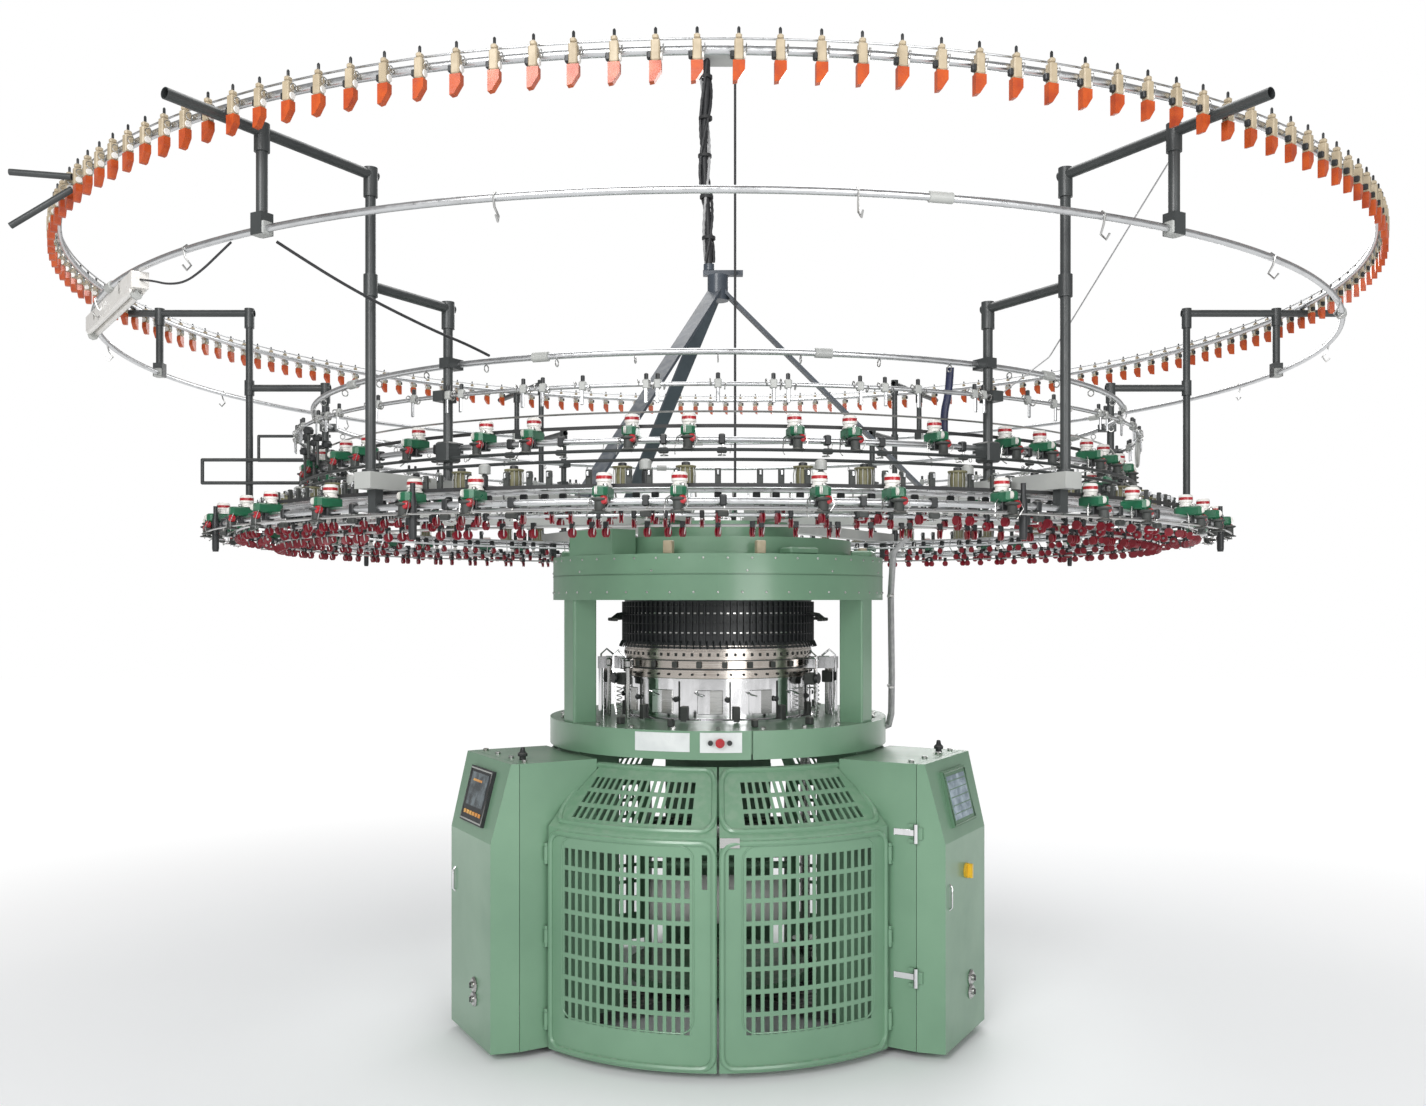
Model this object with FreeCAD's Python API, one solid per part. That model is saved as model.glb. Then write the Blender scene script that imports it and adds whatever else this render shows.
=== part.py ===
"""Large circular knitting machine on three legs, with a striping head, two tiers of positive feeders,
yarn guide rings and a stop-motion ring carried on posts.

Millimetres. +Z is up, the origin is on the floor under the cylinder's axis, and the front is on the -Y side.
Azimuths are in degrees from the front towards +X. Every radial piece is drawn along +X and then turned.
"""
import FreeCAD, Part
import math
import os

V = FreeCAD.Vector
ORIGIN = V(0, 0, 0)
UP = V(0, 0, 1)

# Overall levels
footHeight = 30.0
floorFrameTop = 60.0
bedTop = 1144.0
bedBottom = bedTop - 101.0
drumBottom = bedTop + 456.0
drumTop = drumBottom + 164.0
capTop = drumTop + 66.0
hubTop = capTop + 70.0
armTop = hubTop + 45.0

# Base
legAzimuths = (60.0, -60.0, 180.0)
legInner = 480.0
legOuter = 640.0
legWidth = 180.0
legWall = 14.0
footRadius = 38.0
footReach = 600.0
footSpread = 55.0
bedRadius = 658.0
fasciaThickness = 9.0
fasciaSlitAzimuth = 10.3
fasciaSlitWidth = 7.0
sheet = 4.0

# Leg cabinets and their hinged covers
cabinetHalfWidth = 238.0
cabinetOuter = 932.0
cabinetTop = bedBottom - 13.0
coverGap = 2.0
coverOuter = 1030.0
coverHalfWidth = 213.0
leanStart = cabinetTop - 275.0
leanDepth = 69.0
screenWidth = 230.0
screenHeight = 200.0
screenThickness = 12.0
screenLevel = 0.5
coverPinRadius = 3.0
coverPinOffset = 8.0
coverKnuckleRadius = 7.0
coverHingeLevels = (290.0, 790.0)

# Gate doors and rear guards
gateRadius = 870.0
gateSheet = 3.0
gateBottom = 30.0
gateBend = bedBottom - 233.0
gateTop = bedBottom - 25.0
gateTopRadius = 660.0
gateGap = 0.3
gateEdge = 43.0
doorCabinetGap = 4.0
slotWidth = 18.0
slotHeight = 60.0
slotColumns = 16
slotRows = 8
slotFirst = 6.8
slotLast = 37.0
slotBase = 185.0
slotPitch = 75.6
upperSlotHeight = 34.0
upperSlotRows = 3
upperSlotBase = gateBend + 52.0
upperSlotPitch = 46.0
handleAzimuth = 2.95
handleWidth = 18.0
handleHeight = 115.0
handleLevel = 697.0
doorPinRadius = 4.0
doorPinReach = 876.0
doorPinAzimuth = 43.3
doorKnuckleRadius = 9.0
doorLugRadius = 7.0
doorHingeLevels = (110.0, 400.0, 690.0)
doorHingeLength = 48.0
latchLevel = gateBend - 15.0
latchWidth = 66.0
latchHeight = 33.0
latchThickness = 6.0

# Buttons on the bed: name, azimuth, stem radius, cap radius, cap height
buttonRise = 10.0
buttons = (
    ("stop_button", 0.6, 5.0, 16.0, 16.0),
    ("start_button", -2.2, 4.0, 9.0, 8.0),
    ("inch_button", 3.4, 4.0, 9.0, 8.0),
)

# Running clearances
running = 0.05
clear = 0.5

# Drive
gearModule = 5.0
wheelTeeth = 144
pinionTeeth = 24
gearFace = 30.0
backlash = 1.6
toothAddendum = 0.8
toothDedendum = 1.2
pressureAngle = 20.0
shaftAzimuth = 120.0
shaftRadius = 20.0
ringGearBase = bedBottom + 27.0
turntableBase = 120.0
pulleyBase = 160.0
pulleyFace = 30.0
shaftPulleyRadius = 55.0
motorPulleyRadius = 45.0
motorReach = 690.0
motorAzimuth = 110.0
motorRadius = 85.0
motorBase = 215.0
motorHeight = 280.0
motorShaftRadius = 12.0
beltThickness = 4.0

# Knitting head
cylinderRadius = 330.0
cylinderWall = 15.0
cylinderTop = bedTop + 336.0
guardRadius = 370.0
guardWall = 8.0
guardTop = bedTop + 156.0
camRadius = 366.0
camBore = 331.0
camTop = guardTop + 130.0
striperRadius = 374.0
striperBore = 340.0
bracketAzimuths = (85.0, -85.0, 150.0, -150.0)
bracketReach = 480.0

# Take-down
hubRadius = 60.0
hubFlangeRadius = 110.0
sidePlateOffset = 280.0
sidePlateThickness = 16.0
sidePlateHalfDepth = 130.0
sidePlateTop = 780.0
rollLevel = 690.0
rollRadius = 36.0
rollNip = 1.0
clothLevel = 400.0
clothRadius = 95.0
journalRadius = 12.0

# Columns and top drum
columnWidth = 95.0
columnReach = 600.0
drumRadius = 655.0
drumWall = 30.0
drumFloor = 20.0
drumHole = 300.0
seamLevel = drumBottom + 90.0
seamDepth = 2.0
seamHeight = 3.0
capRadius = 530.0
hubTopRadius = 320.0

# Yarn side
postAzimuths = (30.0, 90.0, 150.0, -150.0, -90.0, -30.0)
armInner = 250.0
armOuter = 1910.0
armWidth = 60.0
tubeRadius = 14.0
tubeWall = 2.0
outerPostReach = 1880.0
innerPostReach = 1575.0
topArmLevel = armTop + 805.0
stopRingRadius = 2340.0
topArmReach = stopRingRadius + 170.0
lowerArmLevel = armTop + 505.0
upperRingRadius = 2240.0
upperRingLevel = armTop + 565.0
upperRingTube = 9.0
stopRingTube = 10.0
stopWireRadius = 2.5
stopWireRise = 25.0
innerRingRadius = 1545.0
innerRingLevel = armTop + 345.0
innerRingTube = 9.0
guideRingRadius = 1602.0
guideRingLevel = armTop + 245.0
guideRingTube = 6.0
upperFeederRadius = 1545.0
upperFeederLevel = armTop + 100.0
lowerFeederRadius = 1862.0
lowerFeederLevel = armTop - 95.0
feederRingTube = 9.0
reelRingInner = 1600.0
reelRingOuter = 1750.0
reelRingThickness = 7.0
eyeletRingRadius = 1720.0
eyeletRingLevel = armTop - 120.0
eyeletRingTube = 5.0
ringPieces = 12
outerRingPieces = 24
ringWall = 1.5

# Small units on the rings
stopUnits = 168
stopUnitWidth = 19.0
stopUnitDepth = 22.0
stopUnitTop = 25.0
stopUnitHeight = 58.0
stopLampHeight = 45.0
pairOffsets = (-26.0, -20.0, -9.0, -3.0, 8.0, 14.0, 24.0)
housingLength = 85.0
housingWidth = 40.0
housingHeight = 28.0
feederPulleyRadius = 21.0
feederPulleyHeight = 37.0
feederPulleyInset = 10.0
feederWheelRadius = 22.0
feederWheelHeight = 42.0
feederWheelOffset = 36.0
reelRadius = 30.0
reelHeight = 72.0
reelReach = 1650.0
eyeletWheelRadius = 13.0
eyeletWheelWidth = 9.0
eyeletWheelHang = 30.0
tapeHeight = 10.0
tapeThickness = 2.0

# Hoops, creel bracket, cables and ceiling plate
hoopAzimuth = -90.0
hoopTube = 7.0
hoopReach = 2060.0
hoopLow = armTop + 123.0
hoopHigh = armTop + 215.0
smallHoopTube = 6.0
smallHoopReach = 1850.0
smallHoopLow = armTop + 217.0
smallHoopHigh = armTop + 315.0
creelAzimuth = -49.286
creelTube = 9.0
creelEnd = V(-170, -5, 12)
creelLowEnd = V(-165, -10, -105)
glandOffset = -36.0
lampCordRadius = 3.0
wireRadius = 4.0
yarnWireRadius = 2.0
hoseRadius = 11.5
cableRadius = 14.0
thinCableRadius = 5.0
ceilingLevel = armTop + 1820.0
ceilingPlate = 12.0

# Tripod and lamp
tripodTop = armTop + 915.0
tripodAzimuths = (-30.0, 90.0, -150.0)
tripodReach = 960.0
tripodBar = 12.0
tripodSection = 62.0
tripodHeadRadius = 42.0
lampNear = -45.0
lampFar = -63.0
lampDepth = 45.0

# Switch and drive centres
switchLevel = 628.0
switchShaft = 6.0
coverSides = (-1, -1, -1)
pitchDistance = gearModule * (wheelTeeth + pinionTeeth) / 2.0


def polar(radius, azimuth, z=0.0):
    angle = math.radians(azimuth)
    return V(radius * math.sin(angle), -radius * math.cos(angle), z)


def turned(shape, azimuth):
    copy = shape.copy()
    copy.rotate(ORIGIN, UP, azimuth - 90.0)
    return copy


def around(shape, azimuths):
    return [turned(shape, azimuth) for azimuth in azimuths]


def box(x0, x1, y0, y1, z0, z1):
    return Part.makeBox(x1 - x0, y1 - y0, z1 - z0, V(x0, y0, z0))


def post(radius, z0, z1, at=ORIGIN, wall=0.0):
    base = V(at.x, at.y, z0)
    solid = Part.makeCylinder(radius, z1 - z0, base, UP)
    if wall:
        solid = solid.cut(Part.makeCylinder(radius - wall, z1 - z0, base, UP))
    return solid


def bar(start, end, radius, wall=0.0):
    run = end - start
    solid = Part.makeCylinder(radius, run.Length, start, run)
    if wall:
        solid = solid.cut(Part.makeCylinder(radius - wall, run.Length, start, run))
    return solid


def collar(outer, inner, z0, z1, at=ORIGIN):
    return post(outer, z0, z1, at).cut(post(inner, z0, z1, at))


def prism(points, z0, z1):
    loop = [V(x, y, z0) for x, y in points]
    return Part.Face(Part.makePolygon(loop + loop[:1])).extrude(V(0, 0, z1 - z0))


def lathe(profile, sweep=360.0, start=0.0):
    """Turns a closed radius-height outline about the axis, from one azimuth on through a sweep."""
    loop = [V(radius, 0, z) for radius, z in profile]
    solid = Part.Face(Part.makePolygon(loop + loop[:1])).revolve(ORIGIN, UP, sweep)
    return turned(solid, start)


def sector(inner, outer, z0, z1, sweep, start):
    return lathe([(inner, z0), (outer, z0), (outer, z1), (inner, z1)], sweep, start)


def ringTube(radius, tube, level, pieces=ringPieces, wall=ringWall, first=0.0):
    """A ring of bent tube, made of equal arcs that meet end to end."""
    centre = V(radius, 0, level)
    section = Part.Face(Part.Wire(Part.makeCircle(tube, centre, V(0, 1, 0))))
    if wall:
        section = section.cut(Part.Face(Part.Wire(Part.makeCircle(tube - wall, centre, V(0, 1, 0)))))
    arc = section.revolve(ORIGIN, UP, 360.0 / pieces)
    solid = arc.Solids[0] if arc.Solids else arc
    return around(solid, [first + 360.0 / pieces * i for i in range(pieces)])


def bandRing(inner, outer, z0, z1, pieces=ringPieces, first=0.0):
    step = 360.0 / pieces
    return [sector(inner, outer, z0, z1, step, first + step * i) for i in range(pieces)]


def gearBlank(teeth, z0, z1, bore, phase=0.0):
    """A spur gear with straight-flanked teeth, a little thinner than half a pitch so that it runs free."""
    pitchRadius = gearModule * teeth / 2.0
    flank = math.tan(math.radians(pressureAngle))
    halfPitch = (math.pi * gearModule - backlash) / 4.0
    rootRadius = pitchRadius - toothDedendum * gearModule
    tipRadius = pitchRadius + toothAddendum * gearModule
    rootHalf = (halfPitch + toothDedendum * gearModule * flank) / rootRadius
    tipHalf = (halfPitch - toothAddendum * gearModule * flank) / tipRadius
    outline = []
    for tooth in range(teeth):
        centre = math.radians(phase) + tooth * 2.0 * math.pi / teeth
        for radius, offset in (
            (rootRadius, -rootHalf),
            (tipRadius, -tipHalf),
            (tipRadius, tipHalf),
            (rootRadius, rootHalf),
        ):
            angle = centre + offset
            outline.append((radius * math.cos(angle), radius * math.sin(angle)))
    return prism(outline, z0, z1).cut(post(bore, z0, z1))


def moved(shape, offset):
    copy = shape.copy()
    copy.translate(offset)
    return copy


def save(name, solids):
    """Writes one node, and prints how many solids it has and whether they are sound."""
    pieces = []
    for solid in solids:
        pieces.extend(solid.Solids)
    sound = all(piece.isValid() and piece.Volume > 0 for piece in pieces)
    shape = pieces[0] if len(pieces) == 1 else Part.makeCompound(pieces)
    shape.exportStep("parts/" + name + ".step")
    litres = sum(piece.Volume for piece in pieces) / 1e6
    print(f"{name}: {len(pieces)} solids, {litres:.2f} litres, sound {sound}")


def makeBase():
    feet = []
    for azimuth in legAzimuths:
        for side in (-footSpread, footSpread):
            feet.append(turned(post(footRadius, 0, footHeight, V(footReach, side, 0)), azimuth))
    save("levelling_feet", feet)

    frame = post(hubFlangeRadius, footHeight, turntableBase - clear)
    frame = frame.fuse(post(hubRadius, footHeight, turntableBase + gearFace))
    for azimuth in legAzimuths:
        frame = frame.fuse(turned(box(0, legOuter, -legWidth / 2, legWidth / 2, footHeight, floorFrameTop), azimuth))
    shaft = polar(pitchDistance, shaftAzimuth)
    motor = polar(motorReach, motorAzimuth)
    frame = frame.fuse(turned(box(0, motorReach + 140, -70, 70, footHeight, floorFrameTop), shaftAzimuth))
    frame = frame.fuse(post(2 * shaftRadius, footHeight, turntableBase - clear, shaft))
    frame = frame.fuse(post(60, footHeight, floorFrameTop, motor))
    frame = frame.fuse(bar(V(shaft.x, shaft.y, 45), V(motor.x, motor.y, 45), 15))
    stand = turned(box(motorReach + 70, motorReach + 100, -60, 60, footHeight, motorBase - 10), motorAzimuth)
    shelf = turned(box(motorReach - 90, motorReach + 100, -60, 60, motorBase - 10, motorBase), motorAzimuth)
    frame = frame.fuse(stand).fuse(shelf)
    frame = frame.fuse(turned(box(motorReach, motorReach + 100, -60, 60, footHeight, floorFrameTop), motorAzimuth))
    frame = frame.cut(post(shaftRadius + running, floorFrameTop, turntableBase, shaft))
    frame = frame.cut(post(motorShaftRadius + running, motorBase - 11, motorBase + 1, motor))
    save("floor_frame", [frame])

    outer = box(legInner, legOuter, -legWidth / 2, legWidth / 2, floorFrameTop, bedBottom + 17)
    inner = box(
        legInner + legWall, legOuter - legWall, -legWidth / 2 + legWall, legWidth / 2 - legWall,
        floorFrameTop - 1, bedBottom + 18,
    )
    save("legs", around(outer.cut(inner), legAzimuths))


def makeBed():
    plateBottom = bedBottom + 17
    shaft = polar(pitchDistance, shaftAzimuth)
    pinionTip = gearModule * (pinionTeeth / 2.0 + 1) + 3
    wheelTip = gearModule * (wheelTeeth / 2.0 + 1) + 3
    plate = post(bedRadius, plateBottom, bedTop)
    plate = plate.cut(post(drumHole, plateBottom - 1, ringGearBase))
    plate = plate.cut(post(wheelTip, ringGearBase - clear, ringGearBase + gearFace + clear))
    plate = plate.cut(post(cylinderRadius + clear, ringGearBase, bedTop + 1))
    plate = plate.cut(post(pinionTip, ringGearBase - clear, ringGearBase + gearFace + clear, shaft))
    plate = plate.cut(post(shaftRadius + running, plateBottom - 1, ringGearBase + 1, shaft))
    save("bed_plate", [plate])

    slit = math.degrees(fasciaSlitWidth / bedRadius)
    outside = bedRadius + fasciaThickness
    fascia = sector(bedRadius, outside, bedBottom, bedTop, 360 - slit, fasciaSlitAzimuth + slit / 2)
    save("bed_fascia", [fascia.cut(buttonHoles())])


def buttonHoles():
    level = (bedBottom + bedTop) / 2 + buttonRise
    holes = []
    for name, azimuth, stem, cap, height in buttons:
        hole = bar(V(bedRadius - 1, 0, level), V(bedRadius + fasciaThickness + 10, 0, level), stem + running)
        holes.append(turned(hole, azimuth))
    return holes


def leanCut(gap):
    """The wedge taken off the upper part of a cover, where its face leans back."""
    top = cabinetTop + 1
    slope = leanDepth / (cabinetTop - leanStart)
    points = [
        V(coverOuter - gap, 0, leanStart - gap * slope / 2),
        V(coverOuter - gap - slope * (top - leanStart), 0, top),
        V(coverOuter + 50, 0, top),
        V(coverOuter + 50, 0, leanStart - gap * slope / 2),
    ]
    wedge = Part.Face(Part.makePolygon(points + points[:1])).extrude(V(0, 2 * cabinetHalfWidth, 0))
    return moved(wedge, V(0, -cabinetHalfWidth, 0))


def coverShape(inset, back):
    inner = cabinetOuter + coverGap
    half = cabinetHalfWidth - inset
    far = coverHalfWidth - inset
    outline = [(inner - back, -half), (inner, -half), (coverOuter - inset, -far),
               (coverOuter - inset, far), (inner, half), (inner - back, half)]
    if not back:
        outline = outline[1:5]
    return prism(outline, footHeight + inset, cabinetTop - inset).cut(leanCut(inset))


def makeCover(name, azimuth, side, fitting):
    """A hinged cover: side is +1 where its hinge is on the +Y side of the piece as drawn along +X."""
    shell = coverShape(0, 0).cut(coverShape(sheet, sheet + 2))
    pinX = cabinetOuter + coverGap / 2
    pinY = side * (cabinetHalfWidth + coverPinOffset)
    for level in coverHingeLevels:
        knuckle = post(coverKnuckleRadius, level - 20, level + 20, V(pinX, pinY, 0))
        low, high = sorted((side * (cabinetHalfWidth - 6), side * (cabinetHalfWidth + 6)))
        tab = box(pinX + 1, pinX + 24, low, high, level - 20, level + 20)
        shell = shell.fuse(tab.cut(coverShape(1, 1))).fuse(knuckle)
    for level in coverHingeLevels:
        shell = shell.cut(post(coverPinRadius + running, level - 21, level + 21, V(pinX, pinY, 0)))
    if fitting == "switch":
        axle = bar(V(coverOuter - 40, 0, switchLevel), V(coverOuter + 1, 0, switchLevel), switchShaft + running)
        shell = shell.cut(axle)
    save(name, [turned(shell, azimuth)])


def makeCabinets():
    inner = legOuter
    walls = box(inner, cabinetOuter, -cabinetHalfWidth, cabinetHalfWidth, footHeight, cabinetTop)
    hollow = box(
        inner + sheet, cabinetOuter + 1, -cabinetHalfWidth + sheet, cabinetHalfWidth - sheet,
        footHeight - 1, cabinetTop - sheet,
    )
    walls = walls.cut(hollow)
    solids = []
    pins = []
    for azimuth, side in zip(legAzimuths, coverSides):
        shell = walls
        pinX = cabinetOuter + coverGap / 2
        pinY = side * (cabinetHalfWidth + coverPinOffset)
        for level in coverHingeLevels:
            for low in (level - 33, level + 21):
                lug = post(coverKnuckleRadius, low, low + 12, V(pinX, pinY, 0))
                near, far = sorted((side * cabinetHalfWidth, side * (cabinetHalfWidth + 9)))
                lug = lug.fuse(box(pinX - 26, pinX - 1, near, far, low, low + 12))
                lug = lug.cut(post(coverPinRadius, low - 1, low + 13, V(pinX, pinY, 0)))
                lug = lug.cut(box(pinX - 1, pinX + 10, -cabinetHalfWidth - 1, cabinetHalfWidth + 1, low, low + 12))
                shell = shell.fuse(lug)
            pins.append(turned(post(coverPinRadius, level - 33, level + 33, V(pinX, pinY, 0)), azimuth))
        solids.append(turned(shell, azimuth))
    for index, mirror in ((0, 1), (1, -1)):
        hinge = polar(doorPinReach, mirror * doorPinAzimuth)
        for level in doorHingeLevels:
            for low in (level - 12.5, level + doorHingeLength + 0.5):
                lug = post(doorLugRadius, low, low + 12, hinge)
                across = doorPinReach * math.sin(math.radians(legAzimuths[0] - doorPinAzimuth))
                along = doorPinReach * math.cos(math.radians(legAzimuths[0] - doorPinAzimuth))
                sideSign = -mirror
                near, far = sorted((sideSign * cabinetHalfWidth, sideSign * across))
                arm = turned(box(along - 2, along + 7, near, far, low, low + 12), legAzimuths[index])
                lug = lug.fuse(arm).cut(post(doorPinRadius, low - 1, low + 13, hinge))
                solids[index] = solids[index].fuse(lug)
            pins.append(post(doorPinRadius, level - 12.5, level + doorHingeLength + 12.5, hinge))
    save("leg_cabinets", solids)
    save("hinge_pins", pins)


def leaningBox(width, height, thickness, level):
    """A flat box lying on the leaning face of a cover."""
    lean = math.degrees(math.atan(leanDepth / (cabinetTop - leanStart)))
    slab = box(0, thickness, -width / 2, width / 2, -height / 2, height / 2)
    slab.rotate(ORIGIN, V(0, 1, 0), -lean)
    rise = (cabinetTop - leanStart) * level
    return moved(slab, V(coverOuter - leanDepth * level, 0, leanStart + rise))


def makePanels():
    slab = leaningBox(screenWidth, screenHeight, screenThickness, screenLevel)
    save("touch_screen", [turned(slab, legAzimuths[1])])
    save("instrument_window", [turned(slab, legAzimuths[0])])
    start = V(coverOuter - 20, 0, switchLevel)
    knob = bar(start, V(coverOuter + clear, 0, switchLevel), switchShaft)
    knob = knob.fuse(bar(V(coverOuter + clear, 0, switchLevel), V(coverOuter + 10, 0, switchLevel), 27))
    knob = knob.fuse(box(coverOuter + 10, coverOuter + 26, -6, 6, switchLevel - 25, switchLevel + 25))
    save("main_switch", [turned(knob, legAzimuths[0])])


def gateShell(start, sweep):
    t = gateSheet
    profile = [
        (gateRadius, gateBottom), (gateRadius, gateBend), (gateTopRadius, gateTop),
        (gateTopRadius - t, gateTop - t), (gateRadius - t, gateBend - t), (gateRadius - t, gateBottom),
    ]
    return lathe(profile, sweep, start)


def slotTools(first, last):
    """Cutters for one perforated field: tall slots on the drum part, short ones on the slope."""
    tools = []
    step = (last - first) / (slotColumns - 1)
    for column in range(slotColumns):
        azimuth = first + step * column
        for row in range(slotRows):
            middle = slotBase + slotPitch * row
            cutter = box(
                gateRadius - 20, gateRadius + 20, -slotWidth / 2, slotWidth / 2,
                middle - slotHeight / 2, middle + slotHeight / 2,
            )
            tools.append(turned(cutter, azimuth))
        for row in range(upperSlotRows):
            middle = upperSlotBase + upperSlotPitch * row
            reach = gateRadius - (middle - gateBend) * (gateRadius - gateTopRadius) / (gateTop - gateBend)
            width = slotWidth * reach / gateRadius
            cutter = box(
                reach - 60, reach + 60, -width / 2, width / 2,
                middle - upperSlotHeight / 2, middle + upperSlotHeight / 2,
            )
            tools.append(turned(cutter, azimuth))
    return tools


def makeDoor(name, mirror):
    """One half of the front gate; mirror is +1 for the right-hand door."""
    sweep = gateEdge - gateGap
    start = gateGap if mirror > 0 else -gateEdge
    door = gateShell(start, sweep)
    first, last = (slotFirst, slotLast) if mirror > 0 else (-slotLast, -slotFirst)
    tools = slotTools(first, last)
    handle = box(
        gateRadius - 20, gateRadius + 20, -handleWidth / 2, handleWidth / 2,
        handleLevel - handleHeight / 2, handleLevel + handleHeight / 2,
    )
    tools.append(turned(handle, mirror * handleAzimuth))
    door = door.cut(tools)
    half = cabinetHalfWidth + doorCabinetGap
    beside = turned(box(legInner, cabinetOuter, -half, half, 0, bedBottom), mirror * legAzimuths[0])
    door = door.cut(beside)
    hinge = polar(doorPinReach, mirror * doorPinAzimuth)
    for level in doorHingeLevels:
        door = door.fuse(post(doorKnuckleRadius, level, level + doorHingeLength, hinge))
    for level in doorHingeLevels:
        door = door.cut(post(doorPinRadius + running, level - 1, level + doorHingeLength + 1, hinge))
    save(name, [door])


def makeGate():
    makeDoor("door_right", 1)
    makeDoor("door_left", -1)
    reach = gateRadius + clear
    latchLow = latchLevel - latchHeight / 2
    plate = box(reach, reach + latchThickness, 0, latchWidth, latchLow, latchLow + latchHeight)
    plate = plate.common(post(gateRadius + 40, 0, gateTop)).cut(post(gateRadius + clear, 0, gateTop))
    save("door_latch", [turned(moved(plate, V(0, 6, 0)), 0)])
    guards = []
    edge = legAzimuths[0] + math.degrees(math.asin((cabinetHalfWidth + 2) / gateTopRadius))
    far = 360 - legAzimuths[0]
    span = legAzimuths[2] - legAzimuths[0] - 2 * math.degrees(math.asin((cabinetHalfWidth + 2) / gateTopRadius))
    for start in (edge, far - span - (edge - legAzimuths[0])):
        guard = gateShell(start, span)
        middle = start + span / 2
        guard = guard.cut(slotTools(middle - 0.44 * span, middle - 0.06 * span))
        guard = guard.cut(slotTools(middle + 0.06 * span, middle + 0.44 * span))
        guards.append(guard)
    save("rear_guards", guards)


def makeButtons():
    outside = bedRadius + fasciaThickness
    level = (bedBottom + bedTop) / 2 + buttonRise
    button = sector(outside, outside + 2.5, level - 35, level + 35, 12.6, -5.4)
    name = sector(outside, outside + 1.5, level - 33, level + 33, 17.5, -26)
    face = outside + 2.5
    save("sign_plates", [button.cut(buttonHoles()), name])
    for node, azimuth, stem, cap, height in buttons:
        solid = bar(V(outside + 0.5, 0, level), V(face + 6, 0, level), stem)
        solid = solid.fuse(bar(V(face + 6, 0, level), V(face + 6 + height, 0, level), cap))
        save(node, [turned(solid, azimuth)])


def makeDrive():
    shaftAt = polar(pitchDistance, shaftAzimuth)
    motorAt = polar(motorReach, motorAzimuth)
    toothPhase = 180.0 / pinionTeeth
    shaft = post(shaftRadius, floorFrameTop, ringGearBase + gearFace, shaftAt)
    for base in (turntableBase, ringGearBase):
        pinion = gearBlank(pinionTeeth, base, base + gearFace, shaftRadius / 2, toothPhase)
        shaft = shaft.fuse(moved(pinion, shaftAt))
    shaft = shaft.fuse(post(shaftPulleyRadius, pulleyBase, pulleyBase + pulleyFace, shaftAt))
    save("main_shaft", [shaft])
    pulley = post(motorPulleyRadius, pulleyBase, pulleyBase + pulleyFace, motorAt)
    pulley = pulley.fuse(post(motorShaftRadius, pulleyBase, motorBase + 40, motorAt))
    save("motor_pulley", [pulley])
    motor = post(motorRadius, motorBase, motorBase + motorHeight, motorAt)
    motor = motor.fuse(post(motorRadius - 8, motorBase + motorHeight, motorBase + motorHeight + 30, motorAt))
    motor = motor.cut(post(motorShaftRadius + running, motorBase - 1, motorBase + 41, motorAt))
    save("motor", [motor])
    save("drive_belt", [beltLoop(shaftAt, shaftPulleyRadius, motorAt, motorPulleyRadius)])


def beltLoop(a, radiusA, b, radiusB):
    """A flat belt round two pulleys: the hull of two discs, less the same hull one thickness smaller."""
    gap = 0.4
    low, high = pulleyBase + 4, pulleyBase + pulleyFace - 4

    def hull(extra):
        ra, rb = radiusA + extra, radiusB + extra
        run = b - a
        lean = math.acos((ra - rb) / run.Length)
        heading = math.atan2(run.y, run.x)
        corners = []
        for centre, radius, sign in ((a, ra, 1), (b, rb, 1), (b, rb, -1), (a, ra, -1)):
            angle = heading + sign * lean
            corners.append((centre.x + radius * math.cos(angle), centre.y + radius * math.sin(angle)))
        body = prism(corners, low, high)
        return body.fuse(post(ra, low, high, a)).fuse(post(rb, low, high, b)).removeSplitter()

    return hull(gap + beltThickness).cut(hull(gap))


def makeHead():
    gear = gearBlank(wheelTeeth, ringGearBase, ringGearBase + gearFace, cylinderRadius)
    save("cylinder_gear", [gear])
    save("needle_cylinder", [collar(cylinderRadius, cylinderRadius - cylinderWall, ringGearBase, cylinderTop)])
    save("cam_guard", [collar(guardRadius, guardRadius - guardWall, bedTop, guardTop)])
    cam = lathe([
        (camBore, guardTop), (camRadius, guardTop), (camRadius + 4, guardTop + 8), (camRadius + 4, guardTop + 38),
        (camRadius, guardTop + 40), (camRadius, guardTop + 84), (camRadius + 4, guardTop + 86),
        (camRadius + 4, camTop - 26), (camRadius, camTop - 24), (camRadius, camTop), (camBore, camTop),
    ])
    save("cam_ring", [cam])
    save("striper_ring", [collar(striperRadius, striperBore, camTop, drumBottom)])
    foot = post(18, bedTop, guardTop + 30, V(bracketReach - 20, 0, 0))
    arm = box(camRadius + 4, bracketReach, -22, 22, guardTop + 30, guardTop + 76)
    bracket = foot.fuse(arm.cut(post(camRadius + 4, 0, camTop)))
    save("head_brackets", around(bracket, bracketAzimuths))


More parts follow.
